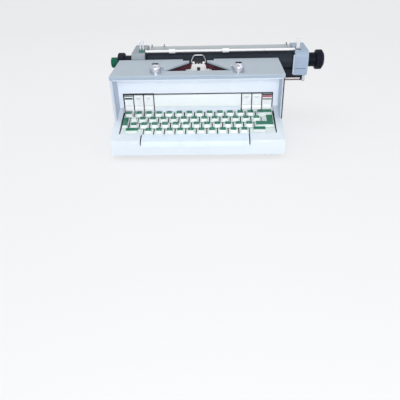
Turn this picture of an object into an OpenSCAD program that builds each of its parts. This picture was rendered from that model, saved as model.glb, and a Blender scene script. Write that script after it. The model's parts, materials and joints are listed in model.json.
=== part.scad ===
// Electric typewriter with a flat cover, a recessed front panel, a sloping keyboard
// and a moving carriage. X runs along the carriage, Y runs from front to back, Z is up.
// The model stands on its feet at Z = 0, with the origin under the middle of its outer box.

/* [Body] */
// Width over the two side cheeks
body_w = 306; // [300:1:312]
// Depth from the front face to the back wall
body_d = 255; // [252:1:258]
// Height of the rubber feet
foot_h = 8; // [6:0.5:8]
// Height of the crease between the front face and the wings
chin_z = 35; // [34:0.5:36]
// Distance of the recessed front panel from the front face
panel_y = 94.5; // [94.5:0.5:95]
// Height of the crease between the wings and the front panel
crease_z = 62; // [61:0.5:63]
// Height of the top of the cover
cover_z = 133.5; // [133:0.5:135]
// Distance of the front lip of the cover from the front face
cover_front_y = 54; // [52:0.5:56]
// Distance of the back edge of the cover from the front face
cover_back_y = 161.5; // [160:0.5:162]
// Wall thickness of the body shells
wall = 2.5; // [2:0.1:3]

/* [Keyboard] */
// Distance between neighbouring keys in a row
key_pitch = 19.05; // [18.9:0.05:19.05]
// Distance between rows, measured from front to back
row_pitch = 18.5; // [18.4:0.1:18.6]
// Rise from one row to the next
row_rise = 3.4; // [3.2:0.1:3.5]
// Distance of the back row from the front face
back_row_y = 84; // [83.8:0.1:84.2]
// Height of the key tops in the back row
back_row_z = 55.6; // [55:0.1:56]
// Depth to which a character key goes down
key_travel = 4; // [3.5:0.5:4]

/* [Carriage] */
// Position of the middle of the carriage along X
carriage_x = 41; // [36:1:41]
// Length of the carriage between its end covers
carriage_len = 291; // [288:1:292]
// Width of each end cover
end_w = 26; // [25:0.5:26]
// Diameter of the rubber platen
platen_d = 39; // [38:0.5:39]
// Distance of the platen axis from the front face
platen_y = 188; // [188:0.5:188.5]
// Height of the platen axis
platen_z = 121.7; // [121.5:0.1:122]

/* [Type] */
// Number of typebars in the fan
typebars_n = 43; // [35:2:43]
// Distance from a typebar pivot to the line through the printing point
typebar_r = 45; // [44.5:0.5:45]
// Angle at which the typebars meet the platen above its axis
strike_tilt = 28; // [27:1:29]
// Angle through which a typebar swings
swing = 145; // [143:1:146]

/* [Hidden] */

$fn = 48;
slack = 0.01;
gap = 0.3;
running = 0.05;

// Body planes
base_z = foot_h;
cheek_t = 4;
inner_x = body_w / 2 - cheek_t;
cover_rim = 6.5;
cover_t = 3;
rim_z = cover_z - cover_rim;
cheek_front_y = cover_front_y + 3;
deck_z = 76;
wing_slope = (crease_z - chin_z) / panel_y;
well_x = 140.6;
panel_foot_z = 42;
well_front_y = 20;
segment_back_y = 176;

// Keyboard places. A key's column is counted from the left key of the back row.
column_zero_x = -131;
key_gap = 1.6;
plate_h = 2.2;
cap_h = 7.2;
cap_w = 10.6;
key_tilt = atan(row_rise / row_pitch);
fulcrum_y = 205;
fulcrum_z = 50;
fulcrum_d = 5;
lever_t = 1.6;
lever_floor_z = 20 + key_travel;
hub_r = 5;
row_columns = [
    [for (i = [0:12]) i],
    [for (i = [1:12]) i + 0.5],
    [for (i = [0:11]) i + 0.75],
    [for (i = [0:9]) i + 2.25]
];

// Carriage places
carriage_left = carriage_x - carriage_len / 2;
carriage_right = carriage_x + carriage_len / 2;
end_front_y = 165;
end_back_y = 250;
end_top_z = 143;
end_bottom_z = 97;
platen_r = platen_d / 2;
platen_gap = 2.5;
shaft_d = 8;
rail_z = 82;
rail_x0 = carriage_left - 20;
rail_x1 = carriage_right + 20;
letter_space = 2.54;
rack_teeth = floor((rail_x1 - rail_x0 - 8) / letter_space);
feed_shaft_d = 3;
bail_y = 179.1;
bail_z = 144.4;
bail_pivot_y = 212;
bail_pivot_z = 124;
bail_pin_d = 3;
lever_y = 190.5;
lever_z = 132.5;
lever_pin_d = 3;

// Printing point, on the upper front of the platen, and ribbon
print_y = platen_y - platen_r * cos(strike_tilt);
print_z = platen_z + platen_r * sin(strike_tilt);
pivot_back = -5;
pivot_wire_d = 1.8;
ribbon_h = 13;
ribbon_low = -19.5;
ribbon_pin_x = 21.5;
spool_x = 96;
spool_y = 124;
spool_z = 112;
spindle_d = 6;
post_x = 73;
post_y = 74;
ribbon_gate_x = 62;
ribbon_gate_y = 88;

// Drive places
motor_y = 231;
motor_z = 36;
roller_y = 178;
roller_z = 21;
pulley_x = -142;

// Outer box, for the origin
clutch_len = 15.5;
knob_len = 13;
barrel_len = 16.4;
knob_dome = 2.7;
left_end_x = carriage_left - end_w - barrel_len - knob_len - clutch_len;
right_end_x = carriage_right + end_w + gap + barrel_len + knob_len + knob_dome;
origin_x = (left_end_x + right_end_x) / 2;
bar_front_y = -2.6;
inlet_back_y = body_d + 0.5;
origin_y = (bar_front_y + inlet_back_y) / 2;

// Places the whole machine about its origin
module machine() {
    translate([-origin_x, -origin_y, 0]) children();
}

// Extrudes an outline drawn in Y and Z along X, from x0 to x1
module along_x(x0, x1) {
    translate([x0, 0, 0]) rotate([90, 0, 90]) linear_extrude(x1 - x0) children();
}

// Extrudes an outline drawn in X and Z along Y, from y0 to y1
module along_y(y0, y1) {
    translate([0, y1, 0]) rotate([90, 0, 0]) linear_extrude(y1 - y0) children();
}

// A round bar along X
module rod_x(x0, x1, y, z, d) {
    translate([x0, y, z]) rotate([0, 90, 0]) cylinder(h = x1 - x0, d = d);
}

// A box given by its two corners
module block(low, high) {
    translate(low) cube(high - low);
}

// Points of an arc about c, from angle a0 to a1
function arc(c, r, a0, a1, n = 8) =
    [for (i = [0:n]) c + r * [cos(a0 + (a1 - a0) * i / n), sin(a0 + (a1 - a0) * i / n)]];

function row_y(row) = back_row_y - row_pitch * (row - 1);
function row_z(row) = back_row_z - row_rise * (row - 1);
function column_x(column) = column_zero_x + column * key_pitch;
function wing_z(y) = chin_z + wing_slope * y;

// Base pan with turned-up edges and a slotted floor
module base_pan() {
    pan_t = 2;
    edge_h = 18;
    slot_w = 4;
    slots = 7;
    color("dimgray") machine() difference() {
        block([-inner_x + gap, wall + gap, base_z], [inner_x - gap, body_d - wall - gap, base_z + edge_h]);
        block([-inner_x + gap + pan_t, wall + gap + pan_t, base_z + pan_t],
              [inner_x - gap - pan_t, body_d - wall - gap - pan_t, base_z + edge_h + 1]);
        for (i = [0:slots - 1])
            block([40 + i * 12, 190, base_z - 1], [40 + slot_w + i * 12, 236, base_z + pan_t + 1]);
        rod_x(-inner_x, inner_x, roller_y, roller_z, 6 + 2 * running);
    }
}

// Four turned rubber feet
module rubber_feet() {
    inset_x = 22;
    foot_y = [24, body_d - 24];
    color("black") machine()
        for (x = [-body_w / 2 + inset_x, body_w / 2 - inset_x], y = foot_y) translate([x, y, 0])
            rotate_extrude() polygon([[0, 0], [8.5, 0], [9.5, 1], [10.5, foot_h], [0, foot_h]]);
}

// Outline of a side cheek behind the wing
module cheek_outline() {
    corner = 5;
    polygon(concat(
        [[cheek_front_y, base_z], [cheek_front_y, rim_z], [cover_back_y, rim_z], [cover_back_y, deck_z]],
        arc([body_d - corner, deck_z - corner], corner, 90, 0),
        [[body_d, base_z]]
    ));
}

// A cheek with the socket of the fulcrum rod in its inner face
module cheek(x0, x1) {
    machine() difference() {
        along_x(x0, x1) cheek_outline();
        rod_x(-inner_x - 2, inner_x + 2, fulcrum_y, fulcrum_z, fulcrum_d);
    }
}

module cheek_left() {
    color("gainsboro") cheek(-body_w / 2, -inner_x);
}

module cheek_right() {
    color("gainsboro") cheek(inner_x, body_w / 2);
}

// Space bar notch, as X limits
bar_left = -100;
bar_right = 92;

// Keyboard surround: chin, wings, and the edge of the well
module keyboard_surround() {
    crease_r = 3;
    shell = [[0, base_z], [0, chin_z - crease_r], [crease_r * 0.4, chin_z - 0.6], [crease_r, wing_z(crease_r)],
             [cheek_front_y, wing_z(cheek_front_y)], [cheek_front_y, base_z]];
    inner = [[wall, base_z - 1], [wall, chin_z - wall - 1.4], [crease_r + 0.8, wing_z(crease_r + 0.8) - wall],
             [cheek_front_y + 1, wing_z(cheek_front_y + 1) - wall], [cheek_front_y + 1, base_z - 1]];
    back = [[cheek_front_y, wing_z(cheek_front_y) - wall], [cheek_front_y, wing_z(cheek_front_y)],
            [panel_y, wing_z(panel_y)], [panel_y, wing_z(panel_y) - wall]];
    color("gainsboro") machine() difference() {
        union() {
            along_x(-body_w / 2, body_w / 2) polygon(shell);
            along_x(-inner_x + 0.05, inner_x - 0.05) polygon(back);
        }
        along_x(-body_w / 2 + wall, body_w / 2 - wall) polygon(inner);
        block([-well_x, well_front_y, chin_z - 8], [well_x, panel_y + 1, crease_z + 12]);
        block([bar_left - 0.8, -1, 27], [bar_right + 0.8, well_front_y + 1, 60]);
    }
}

// Stem behind each control button, which slides between two ribs on a ledge of the panel
stem_w = 6;
stem_z = 62;

// Recessed front panel with the soffit under the cover and the blank plate between the buttons
module front_panel() {
    plate_x0 = -82;
    plate_x1 = 80;
    plate_z0 = 66;
    plate_z1 = 86.5;
    color("whitesmoke") machine() difference() {
        union() {
            along_x(-inner_x + 0.05, inner_x - 0.05) polygon(concat(
                [[cheek_front_y, rim_z - wall], [cheek_front_y, rim_z],
                 [panel_y + wall, rim_z], [panel_y + wall, panel_foot_z], [panel_y, panel_foot_z]],
                arc([panel_y - 4, rim_z - wall - 4], 4, 0, 90)
            ));
            along_x(plate_x0, plate_x1) polygon([
                [panel_y, plate_z0 - 4], [panel_y - 1, plate_z0 - 4], [panel_y - 2.5, plate_z0],
                [panel_y - 2.5, plate_z1], [panel_y, plate_z1]]);
        }
        for (s = [0, 3]) block([button_spans[s][0], panel_y - 1, 58.5],
                               [button_spans[s + 2][1], panel_y + wall + 1, plate_z1 + 0.5]);
    }
    color("whitesmoke") machine() {
        for (s = [0, 3]) along_x(button_spans[s][0], button_spans[s + 2][1])
            translate([panel_y, stem_z - 0.3]) polygon([[wall - slack, -7.2], [wall - slack, -4.3], [8, -4.3], [8, 0], [16, 0], [16, -2.4],
                     [10.4, -2.4], [10.4, -7.2]]);
        for (s = button_spans, side = [-1, 1])
            translate([(s[0] + s[1]) / 2 + side * (stem_w / 2 + 0.9), 0, 0]) block([-0.6, panel_y + 8.5, stem_z - 0.3 - slack], [0.6, panel_y + 16, stem_z + 4]);
    }
}

// Flat cover with a rim, the ribbon opening and the notch at its back edge
module top_cover() {
    rim_t = 2.5;
    corner = 2;
    opening = [[-60, 83], [60, 83], [60, 89], [38, 116], [17, 143], [17, 149.5], [30, 149.5], [30, cover_back_y + 1],
               [-30, cover_back_y + 1], [-30, 149.5], [-17, 149.5], [-17, 143], [-38, 116], [-60, 89]];
    color("silver") machine() difference() {
        along_x(-body_w / 2, body_w / 2) polygon(concat(
            [[cover_front_y, rim_z]],
            arc([cover_front_y + corner, cover_z - corner], corner, 180, 90),
            arc([cover_back_y - corner, cover_z - corner], corner, 90, 0),
            [[cover_back_y, rim_z]]
        ));
        block([-body_w / 2 + rim_t, cover_front_y + rim_t, rim_z - 1],
              [body_w / 2 - rim_t, cover_back_y - rim_t, cover_z - cover_t]);
        translate([0, 0, rim_z - 1]) linear_extrude(cover_rim + 2) polygon(opening);
    }
}

// Place of the mains inlet in the back wall
inlet_x = 110;
inlet_z = 42;

// Deck behind the cover and the back wall, with vents and the inlet hole
module rear_cover() {
    vents = 12;
    corner = 5;
    color("gainsboro") machine() difference() {
        along_x(-inner_x + 0.05, inner_x - 0.05) polygon(concat(
            [[segment_back_y, deck_z - wall], [segment_back_y, deck_z]],
            arc([body_d - corner, deck_z - corner], corner, 90, 0),
            [[body_d, base_z], [body_d - wall, base_z], [body_d - wall, deck_z - wall]]
        ));
        for (i = [0:vents - 1])
            block([-70 + i * 11, body_d - wall - 1, 26], [-64 + i * 11, body_d + 1, 58]);
        block([inlet_x - 14, body_d - wall - 1, inlet_z - 10], [inlet_x + 14, body_d + 1, inlet_z + 10]);
    }
}

// Mains inlet: a flanged socket with three pins
module mains_inlet() {
    color("black") machine() {
        difference() {
            union() {
                block([inlet_x - 13.9, body_d - 20, inlet_z - 9.9], [inlet_x + 13.9, inlet_back_y, inlet_z + 9.9]);
                block([inlet_x - 17, body_d - wall - 2, inlet_z - 12], [inlet_x + 17, body_d - wall, inlet_z + 12]);
            }
            block([inlet_x - 11, body_d - 17, inlet_z - 7], [inlet_x + 11, body_d + 1, inlet_z + 7]);
        }
        for (x = [-7, 0, 7]) translate([inlet_x + x, body_d - 5, inlet_z + (x == 0 ? 2 : -2)])
            rotate([90, 0, 0]) cylinder(h = 12.5, d = 3);
    }
}

// Motor with end bells and a foot on the base pan
module motor() {
    motor_x0 = -128;
    motor_x1 = -58;
    can_d = 38;
    color("slategray") machine() difference() {
        union() {
            rod_x(motor_x0, motor_x1, motor_y, motor_z, can_d);
            rod_x(motor_x0 - 5, motor_x1 + 5, motor_y, motor_z, 22);
            block([motor_x0 + 8, motor_y - 12, base_z + 2], [motor_x1 - 8, motor_y + 12, motor_z - 10]);
        }
        rod_x(motor_x0 - 6, motor_x0 + 10, motor_y, motor_z, 6 + 2 * running);
    }
}

// Pulley and its spindle in the motor
module motor_pulley() {
    color("silver") machine() difference() {
        union() {
            rod_x(pulley_x - 3, -119, motor_y, motor_z, 6);
            for (x = [pulley_x - 3.6, pulley_x + 2.6]) rod_x(x, x + 1, motor_y, motor_z, 17);
            rod_x(pulley_x - 3, pulley_x + 3, motor_y, motor_z, 13);
        }
        rod_x(pulley_x - 4, pulley_x - 2, motor_y, motor_z, 3);
    }
}

// Flat belt round the two pulleys
module drive_belt() {
    small_r = 6.5 + 0.1;
    large_r = 9 + 0.1;
    thick = 1.4;
    run = [motor_y - roller_y, motor_z - roller_z];
    lean = atan2(run[1], run[0]);
    splay = asin((large_r - small_r) / norm(run));
    color("black") machine() along_x(pulley_x - 2.4, pulley_x + 2.4) difference() {
        polygon(concat(
            arc([roller_y, roller_z], large_r + thick, lean + 90 + splay, lean + 270 - splay, 16),
            arc([motor_y, motor_z], small_r + thick, lean - 90 - splay, lean + 90 + splay, 16)));
        polygon(concat(
            arc([roller_y, roller_z], large_r, lean + 90 + splay, lean + 270 - splay, 16),
            arc([motor_y, motor_z], small_r, lean - 90 - splay, lean + 90 + splay, 16)));
    }
}

// Power roller with its pulley; its spindle turns in the edges of the base pan
module power_roller() {
    color("darkslategray") machine() {
        rod_x(-inner_x + gap, inner_x - gap, roller_y, roller_z, 6);
        rod_x(-134, 138, roller_y, roller_z, 12);
        rod_x(pulley_x - 2.5, pulley_x + 2.5, roller_y, roller_z, 18);
        for (x = [pulley_x - 3.6, pulley_x + 2.6]) rod_x(x, x + 1, roller_y, roller_z, 21);
    }
}

// Rod that every key lever turns on, held in the two cheeks
module fulcrum_rod() {
    color("lightgray") machine() rod_x(-inner_x - 2, inner_x + 2, fulcrum_y, fulcrum_z, fulcrum_d);
}

// Frame of the typing unit: origin at the printing point, +Y into the platen
module type_unit() {
    translate([0, print_y, print_z]) rotate([-strike_tilt, 0, 0]) children();
}

// Curved segment with a radial slot for each typebar and the wire they swing on
fan_angle = 50;
function bar_angle(i) = -fan_angle + 2 * fan_angle * i / (typebars_n - 1);

module type_segment() {
    inner_r = typebar_r - 6;
    outer_r = typebar_r + 8;
    slot_w = 1.15;
    rim_angle = fan_angle + 4;
    color("darkgray") machine() type_unit() difference() {
        along_y(pivot_back - 5, pivot_back + 7) polygon(concat(
            arc([0, 0], outer_r, -90 - rim_angle, -90 + rim_angle, 36),
            arc([0, 0], inner_r, -90 + rim_angle, -90 - rim_angle, 36)));
        for (i = [0:typebars_n - 1]) rotate([0, -bar_angle(i), 0])
            block([-slot_w / 2, pivot_back - 6, -outer_r - 1], [slot_w / 2, pivot_back + 4, -inner_r + 1]);
    }
    color("darkgray") machine() type_unit() translate([0, pivot_back, 0]) rotate([90, 0, 0])
        rotate([0, 0, -90 - rim_angle]) rotate_extrude(angle = 2 * rim_angle) translate([typebar_r, 0])
            circle(d = pivot_wire_d);
}

// One typebar at rest: it hangs forward from its pivot, with its type at the free end
module typebar() {
    bar_t = 0.9;
    slug_w = 2;
    pivot_r = 2.6;
    reach = typebar_r - 2;
    translate([0, pivot_back, -typebar_r]) rotate([swing, 0, 0]) {
        along_x(-bar_t / 2, bar_t / 2) difference() {
            union() {
                circle(r = pivot_r);
                polygon([[-2.2, 0], [-1.3, reach + 0.5], [1.3, reach + 0.5], [2.2, 0]]);
            }
            circle(d = pivot_wire_d + 2 * running);
        }
        block([-slug_w / 2, -1.4, reach], [slug_w / 2, 4.2, reach + 4]);
    }
}

module typebars() {
    middle = (typebars_n - 1) / 2;
    color("silver") machine() type_unit()
        for (i = [0:typebars_n - 1]) if (i != middle) rotate([0, -bar_angle(i), 0]) typebar();
}

// The middle typebar, which swings up to the platen
module center_typebar() {
    color("silver") machine() type_unit() typebar();
}

// White ribbon guide just below the printing point, on a bracket behind the segment
module type_guide() {
    face_y0 = -1.4;
    top = -7.5;
    foot = -21;
    shelf = -typebar_r + 7;
    color("white") machine() type_unit() {
        difference() {
            along_y(face_y0, 0) polygon([
                [-20, foot], [-20, foot + 2.5], [-11.5, foot + 3.5], [-7.5, top], [-5.5, top], [-5.2, top + 3],
                [-2.8, top + 3], [-2.4, top], [2.4, top], [2.8, top + 3], [5.2, top + 3], [5.5, top], [7.5, top],
                [11.5, foot + 3.5], [20, foot + 2.5], [20, foot]]);
            block([-2.2, face_y0 - 1, foot + 2], [2.2, 1, foot + 6.5]);
        }
        along_x(-8, 8) polygon([[2, -51], [3.4, -51], [3.4, shelf + 1.4], [0, shelf + 1.4], [0, foot + 1],
                                [face_y0, foot + 1], [face_y0, shelf], [2, shelf]]);
    }
}

// Wire loop on the guide that holds a card against the platen
module card_holder() {
    wire = 1.6;
    half = wire / 2;
    loop = [[-9.6, -2.2, -14], [-13, -2.2, -8], [-8, -0.7, 9.6],
            [8, -0.7, 9.6], [13, -2.2, -8], [9.6, -2.2, -14]];
    color("silver") machine() type_unit()
        for (i = [0:4]) hull() for (p = [loop[i], loop[i + 1]])
            translate(p) rotate([90, 0, 0]) cylinder(h = wire, r = half, center = true, $fn = 12);
}

// Two chrome posts that stand on the cover, each with a dished top, and the pins beside the ribbon
module ribbon_posts() {
    bell = concat([[0, 0], [10.3, 0], [10.3, 5.2]], arc([4.2, 7.5], 6.4, 10, 40, 5),
                  [[7.2, 14.2], [6.8, 15.3], [6.1, 15.6], [5.8, 12.6], [0, 12.6]]);
    color("silver") machine() for (s = [-1, 1]) {
        translate([s * post_x, post_y, cover_z]) rotate_extrude() polygon(bell);
        translate([s * ribbon_gate_x, ribbon_gate_y, cover_z]) rotate_extrude()
            polygon(concat([[0, 0], [1.9, 0], [1.9, 0.8], [1.2, 1.2]], arc([0, 6.3], 1.2, 0, 90, 6)));
    }
}

// Two-colour ribbon from spool to spool, behind the guide
module ribbon() {
    t = 0.4;
    outer = [[spool_x - 11, 107], [62, 100]];
    color("maroon") machine() {
        for (s = [-1, 1]) {
            hull() for (p = outer) ribbon_edge(s * p[0], p[1], t);
            hull() {
                ribbon_edge(s * outer[1][0], outer[1][1], t);
                ribbon_centre(s * ribbon_pin_x, t);
            }
        }
        hull() for (s = [-1, 1]) ribbon_centre(s * ribbon_pin_x, t);
    }
}

module ribbon_edge(x, y, t) {
    translate([x, y, spool_z + 1.6]) cylinder(h = ribbon_h, d = t, $fn = 8);
}

module ribbon_centre(x, t) {
    type_unit() translate([x, 0.45, ribbon_low]) cylinder(h = ribbon_h, d = t, $fn = 8);
}

module ribbon_spool(s) {
    flange_d = 38;
    color("black") machine() translate([s * spool_x, spool_y, spool_z]) difference() {
        union() {
            cylinder(h = 1.2, d = flange_d);
            translate([0, 0, 15]) cylinder(h = 1.2, d = flange_d);
            cylinder(h = 16.2, d = 26);
        }
        translate([0, 0, -1]) cylinder(h = 19, d = spindle_d + 2 * running);
    }
}

module ribbon_spool_left() {
    ribbon_spool(-1);
}

module ribbon_spool_right() {
    ribbon_spool(1);
}

// Fixed bed on the deck with the two rails that the carriage runs on
module carriage_bed() {
    color("dimgray") machine() {
        block([-147, 196, deck_z], [147, 244, deck_z + 2]);
        for (y = [200, 236]) block([-147, y, deck_z + 2], [147, y + 4, deck_z + 9]);
    }
}

// Cross frame between the cheeks: it carries the segment and the spindles of the ribbon spools
module cross_frame() {
    bar_y0 = 143;
    bar_y1 = 151;
    top = 80;
    color("slategray") machine() {
        block([-inner_x, bar_y0, 72], [inner_x, bar_y1, top]);
        difference() {
            block([-16, bar_y0 - 1, top - slack], [16, bar_y1 - 1.5, 87]);
            type_unit() along_y(-14, 8) circle(r = typebar_r + 8 + slack, $fn = 144);
        }
        for (s = [-1, 1]) {
            block([s * spool_x - 8, bar_y1 - 3, top - slack], [s * spool_x + 8, bar_y1, spool_z - 0.8]);
            block([s * spool_x - 8, spool_y - 8, spool_z - 3], [s * spool_x + 8, bar_y1, spool_z - gap]);
            translate([s * spool_x, spool_y, spool_z - 1]) cylinder(h = 16.4, d = spindle_d);
        }
    }
}

// Toothed edge of the lower rail: one tooth for each letter space
function rack_outline() = concat(
    [for (i = [0:rack_teeth - 1], p = [[0, 0], [0.7, -1.1], [1.3, -1.1], [2, 0]])
        [rail_x0 + 4 + i * letter_space + p[0], 85.2 + p[1]]],
    [[rail_x0 + 4 + rack_teeth * letter_space, 85.2], [rail_x0 + 4 + rack_teeth * letter_space, 88],
     [rail_x0 + 4, 88]]);

// Carriage frame: channel over the bed, lower rail, apron and paper trough
module carriage_frame() {
    x0 = carriage_left + 0.05;
    x1 = carriage_right - 0.05;
    beam_z = 91;
    trough_r = platen_r + platen_gap;
    color("#23262b") machine() {
        difference() {
            along_x(x0, x1) polygon(concat(
                [[171, 93], [171, 108], [172.8, 108]],
                arc([platen_y, platen_z], trough_r, 222, 330, 16),
                arc([platen_y, platen_z], trough_r + 1.6, 330, 295, 6),
                [[198, 96], [248, 96], [248, 108], [250, 108], [250, 93]]
            ));
            for (x = feed_xs) block([x - 9, feed_y - 5.6, 92], [x + 9, feed_y + 5.6, 104]);
            block([x0 + 4, feed_y - 1.8, 92], [x1 - 4, feed_y + 1.8, feed_z + 1.8]);
            rod_x(x0 - 1, x1 + 1, feed_y, feed_z, feed_shaft_d + 2 * running);
        }
        for (y = [204.3, 229.7])
            block([carriage_left + 3, y, deck_z + 5], [carriage_right - 3, y + 6, beam_z + 2 + slack]);
        block([rail_x0, 184, rail_z], [rail_x1, 190, 91.5]);
        along_y(181.4, 184 + slack) polygon(rack_outline());
        for (x = [rail_x0 - 5.2, rail_x1 - slack]) along_x(x, x + 5.2 + slack) polygon([
            [182, 81.5], [184, 80], [190, 80], [192, 81.5], [192, end_bottom_z], [182, end_bottom_z]]);
        along_x(x0, x1) polygon([[186, 91], [189.5, 91], [189.5, 93.5], [186, 93.5]]);
    }
}

// Feed rollers: their middles along X and their axis
feed_xs = [for (k = [-1.5:1:1.5]) carriage_x + k * 74];
feed_d = 10;
feed_y = platen_y - 6;
feed_z = platen_z - sqrt(pow(platen_r + feed_d / 2 + gap, 2) - 36);

// Outline of an end cover: upright front, rounded top, undercut foot
module end_outline(inset) {
    top_r = 11 - inset;
    polygon(concat(
        [[end_front_y + 3 + inset, end_bottom_z + inset], [end_front_y + inset, end_bottom_z + 13]],
        arc([end_front_y + 11, end_top_z - 11], top_r, 180, 90),
        arc([end_back_y - 14, end_top_z - 14], 14 - inset, 90, 0),
        [[end_back_y - inset, end_bottom_z + inset]]
    ));
}

// Hollow end cover with the bores of the platen shaft, a lever pin and a stub for the bail arm
module end_cover(x0, x1, stub_x0, stub_x1) {
    shell_t = 2.5;
    difference() {
        along_x(x0, x1) end_outline(0);
        along_x(x0 + shell_t, x1 - shell_t) end_outline(shell_t);
        rod_x(x0 - 1, x1 + 1, platen_y, platen_z, shaft_d + 2 * running);
    }
    rod_x(x0 + 1, x1 - 1, lever_y, lever_z, lever_pin_d);
    rod_x(stub_x0, stub_x1, bail_pivot_y, bail_pivot_z, bail_pin_d);
}

// Slot in the top of an end cover for a lever
module lever_slot(x0, x1) {
    block([x0, lever_y - 9, end_top_z - 4], [x1, lever_y + 9, end_top_z + 1]);
}

module carriage_end_left() {
    color("gainsboro") machine() difference() {
        end_cover(carriage_left - end_w, carriage_left, carriage_left - 1, carriage_left + 2.2);
        lever_slot(carriage_left - 12, carriage_left - 8.4);
        lever_slot(carriage_left - 6.6, carriage_left - 3);
    }
}

module carriage_end_right() {
    color("gainsboro") machine() difference() {
        end_cover(carriage_right, carriage_right + end_w, carriage_right - 2.2, carriage_right + 1);
        lever_slot(carriage_right + 3.6, carriage_right + 11.8);
    }
}

// Paper table: a plate that leans back behind the platen, with a guide ear near each end
module paper_table() {
    x0 = carriage_left + 4;
    x1 = carriage_right - 4;
    t = 1.6;
    color("darkgray") machine() {
        along_x(x0, x1) polygon([[211, 96], [211 + t, 96], [212.6 + t, 112], [232 + t, 140.5], [232, 141.5],
                                 [230.6, 141.3], [211, 112.5]]);
        for (x = [x0 + 3, x0 + 28, x1 - 6]) along_x(x, x + 1.6)
            polygon([[223, 128.9], [231.8, 141], [231.5, 146], [226, 146]]);
    }
}

// Four feed rollers on a shaft under the platen
module feed_rollers() {
    color("black") machine() {
        rod_x(carriage_left + 1, carriage_right - 1, feed_y, feed_z, feed_shaft_d);
        for (x = feed_xs) rod_x(x - 8, x + 8, feed_y, feed_z, feed_d);
    }
}

// Rubber platen with end rings
module platen() {
    x0 = carriage_left + 2.8;
    x1 = carriage_right - 2.8;
    color("#1d1f23") machine() difference() {
        translate([x0, platen_y, platen_z]) rotate([0, 90, 0]) rotate_extrude($fn = 96) polygon([
            [0, 0], [platen_r - 1.5, 0], [platen_r - 1.5, 1.5], [platen_r, 2.2],
            [platen_r, x1 - x0 - 2.2], [platen_r - 1.5, x1 - x0 - 1.5], [platen_r - 1.5, x1 - x0], [0, x1 - x0]]);
        rod_x(x0 - 1, x1 + 1, platen_y, platen_z, shaft_d);
    }
}

module platen_shaft() {
    color("silver") machine() difference() {
        rod_x(carriage_left - end_w - barrel_len - 8, carriage_right + end_w + barrel_len + 8,
              platen_y, platen_z, shaft_d);
        rod_x(carriage_left - end_w - barrel_len - 9, carriage_left - end_w - 10, platen_y, platen_z, 4.1);
    }
}

// Profile of a platen knob: a barrel with turned grooves, a wide grip and its rounded rim
function knob_profile(dome) = concat(
    [[shaft_d / 2, 0], [13, 0], [13.4, 0.8]],
    [for (z = [3.2:3.4:13.4], p = [[13.4, 0], [12.8, 0.4], [12.8, 1], [13.4, 1.4]]) [p[0], z + p[1]]],
    [[13.4, barrel_len]],
    [[17.4, barrel_len], [18.6, barrel_len + 1.2], [18.6, barrel_len + knob_len - 2.4]],
    arc([16.2, barrel_len + knob_len - 2.4], 2.4, 0, 90, 5),
    [[dome > 0 ? 13 : 16, barrel_len + knob_len + dome], [shaft_d / 2, barrel_len + knob_len + dome]]
);

// Finger flutes round the grip of a knob that begins at x0
module knob_flutes(x0) {
    flutes = 24;
    flute_r = 1.6;
    for (i = [0:flutes - 1]) translate([0, platen_y, platen_z]) rotate([i * 360 / flutes, 0, 0])
        rod_x(x0, x0 + knob_len + 4, 0, 18.6 + flute_r - 0.7, 2 * flute_r);
}

module knob_left() {
    color("black") machine() difference() {
        translate([carriage_left - end_w - gap, platen_y, platen_z]) rotate([0, -90, 0])
            rotate_extrude($fn = 72) polygon(knob_profile(0));
        knob_flutes(carriage_left - end_w - gap - barrel_len - knob_len - 4.2);
        rod_x(left_end_x - 1, carriage_left - end_w - barrel_len - 8, platen_y, platen_z, 20.6);
    }
}

module knob_right() {
    color("black") machine() {
        difference() {
            translate([carriage_right + end_w + gap, platen_y, platen_z]) rotate([0, 90, 0])
                rotate_extrude($fn = 72) polygon(knob_profile(knob_dome));
            knob_flutes(carriage_right + end_w + gap + barrel_len + 0.2);
        }
        rod_x(carriage_right + end_w + barrel_len + 8, carriage_right + end_w + barrel_len + knob_len + 1,
              platen_y, platen_z, shaft_d);
    }
}

// Green button in the left knob that frees the platen from its ratchet
module clutch_button() {
    button_r = 10;
    seat_x = carriage_left - end_w - barrel_len - knob_len - gap;
    button_len = seat_x + 3 - left_end_x;
    color("seagreen") machine() difference() {
        union() {
            translate([seat_x + 3, platen_y, platen_z]) rotate([0, -90, 0]) rotate_extrude() polygon(concat(
                [[0, 0], [button_r, 0]],
                arc([button_r - 2.2, button_len - 2.6], 2.2, 0, 90, 5),
                [[0, button_len]]));
            rod_x(seat_x, carriage_left - end_w - 14, platen_y, platen_z, 4);
        }
        for (a = [7.5:15:352.5]) translate([0, platen_y, platen_z]) rotate([a, 0, 0])
            block([seat_x - 13, -0.6, button_r - 0.45], [seat_x - 4, 0.6, button_r + 2]);
    }
}

// Paper bail: a bar along the platen with an arm at each end
module bail_bar() {
    arm_l = carriage_left + 0.4;
    arm_r = carriage_right - 1.8;
    color("silver") machine() {
        rod_x(carriage_left + 0.4, carriage_right - 0.4, bail_y, bail_z, 3.2);
        for (x = [arm_l, arm_r]) difference() {
            along_x(x, x + 1.4) polygon(concat(
                arc([bail_y, bail_z], 3, 60, 240, 8),
                arc([bail_pivot_y, bail_pivot_z], 4.5, 240, 420, 8)));
            rod_x(x - 1, x + 3, bail_pivot_y, bail_pivot_z, bail_pin_d + 2 * running);
        }
    }
}

bail_roller_xs = [-51.5, 53];

module bail_rollers() {
    color("white") machine() for (x = bail_roller_xs) translate([x - 6.4, bail_y, bail_z]) rotate([0, 90, 0])
        rotate_extrude() polygon([[1.65, 0], [3.6, 0], [4.1, 0.7], [4.1, 12.1], [3.6, 12.8], [1.65, 12.8]]);
}

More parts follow.
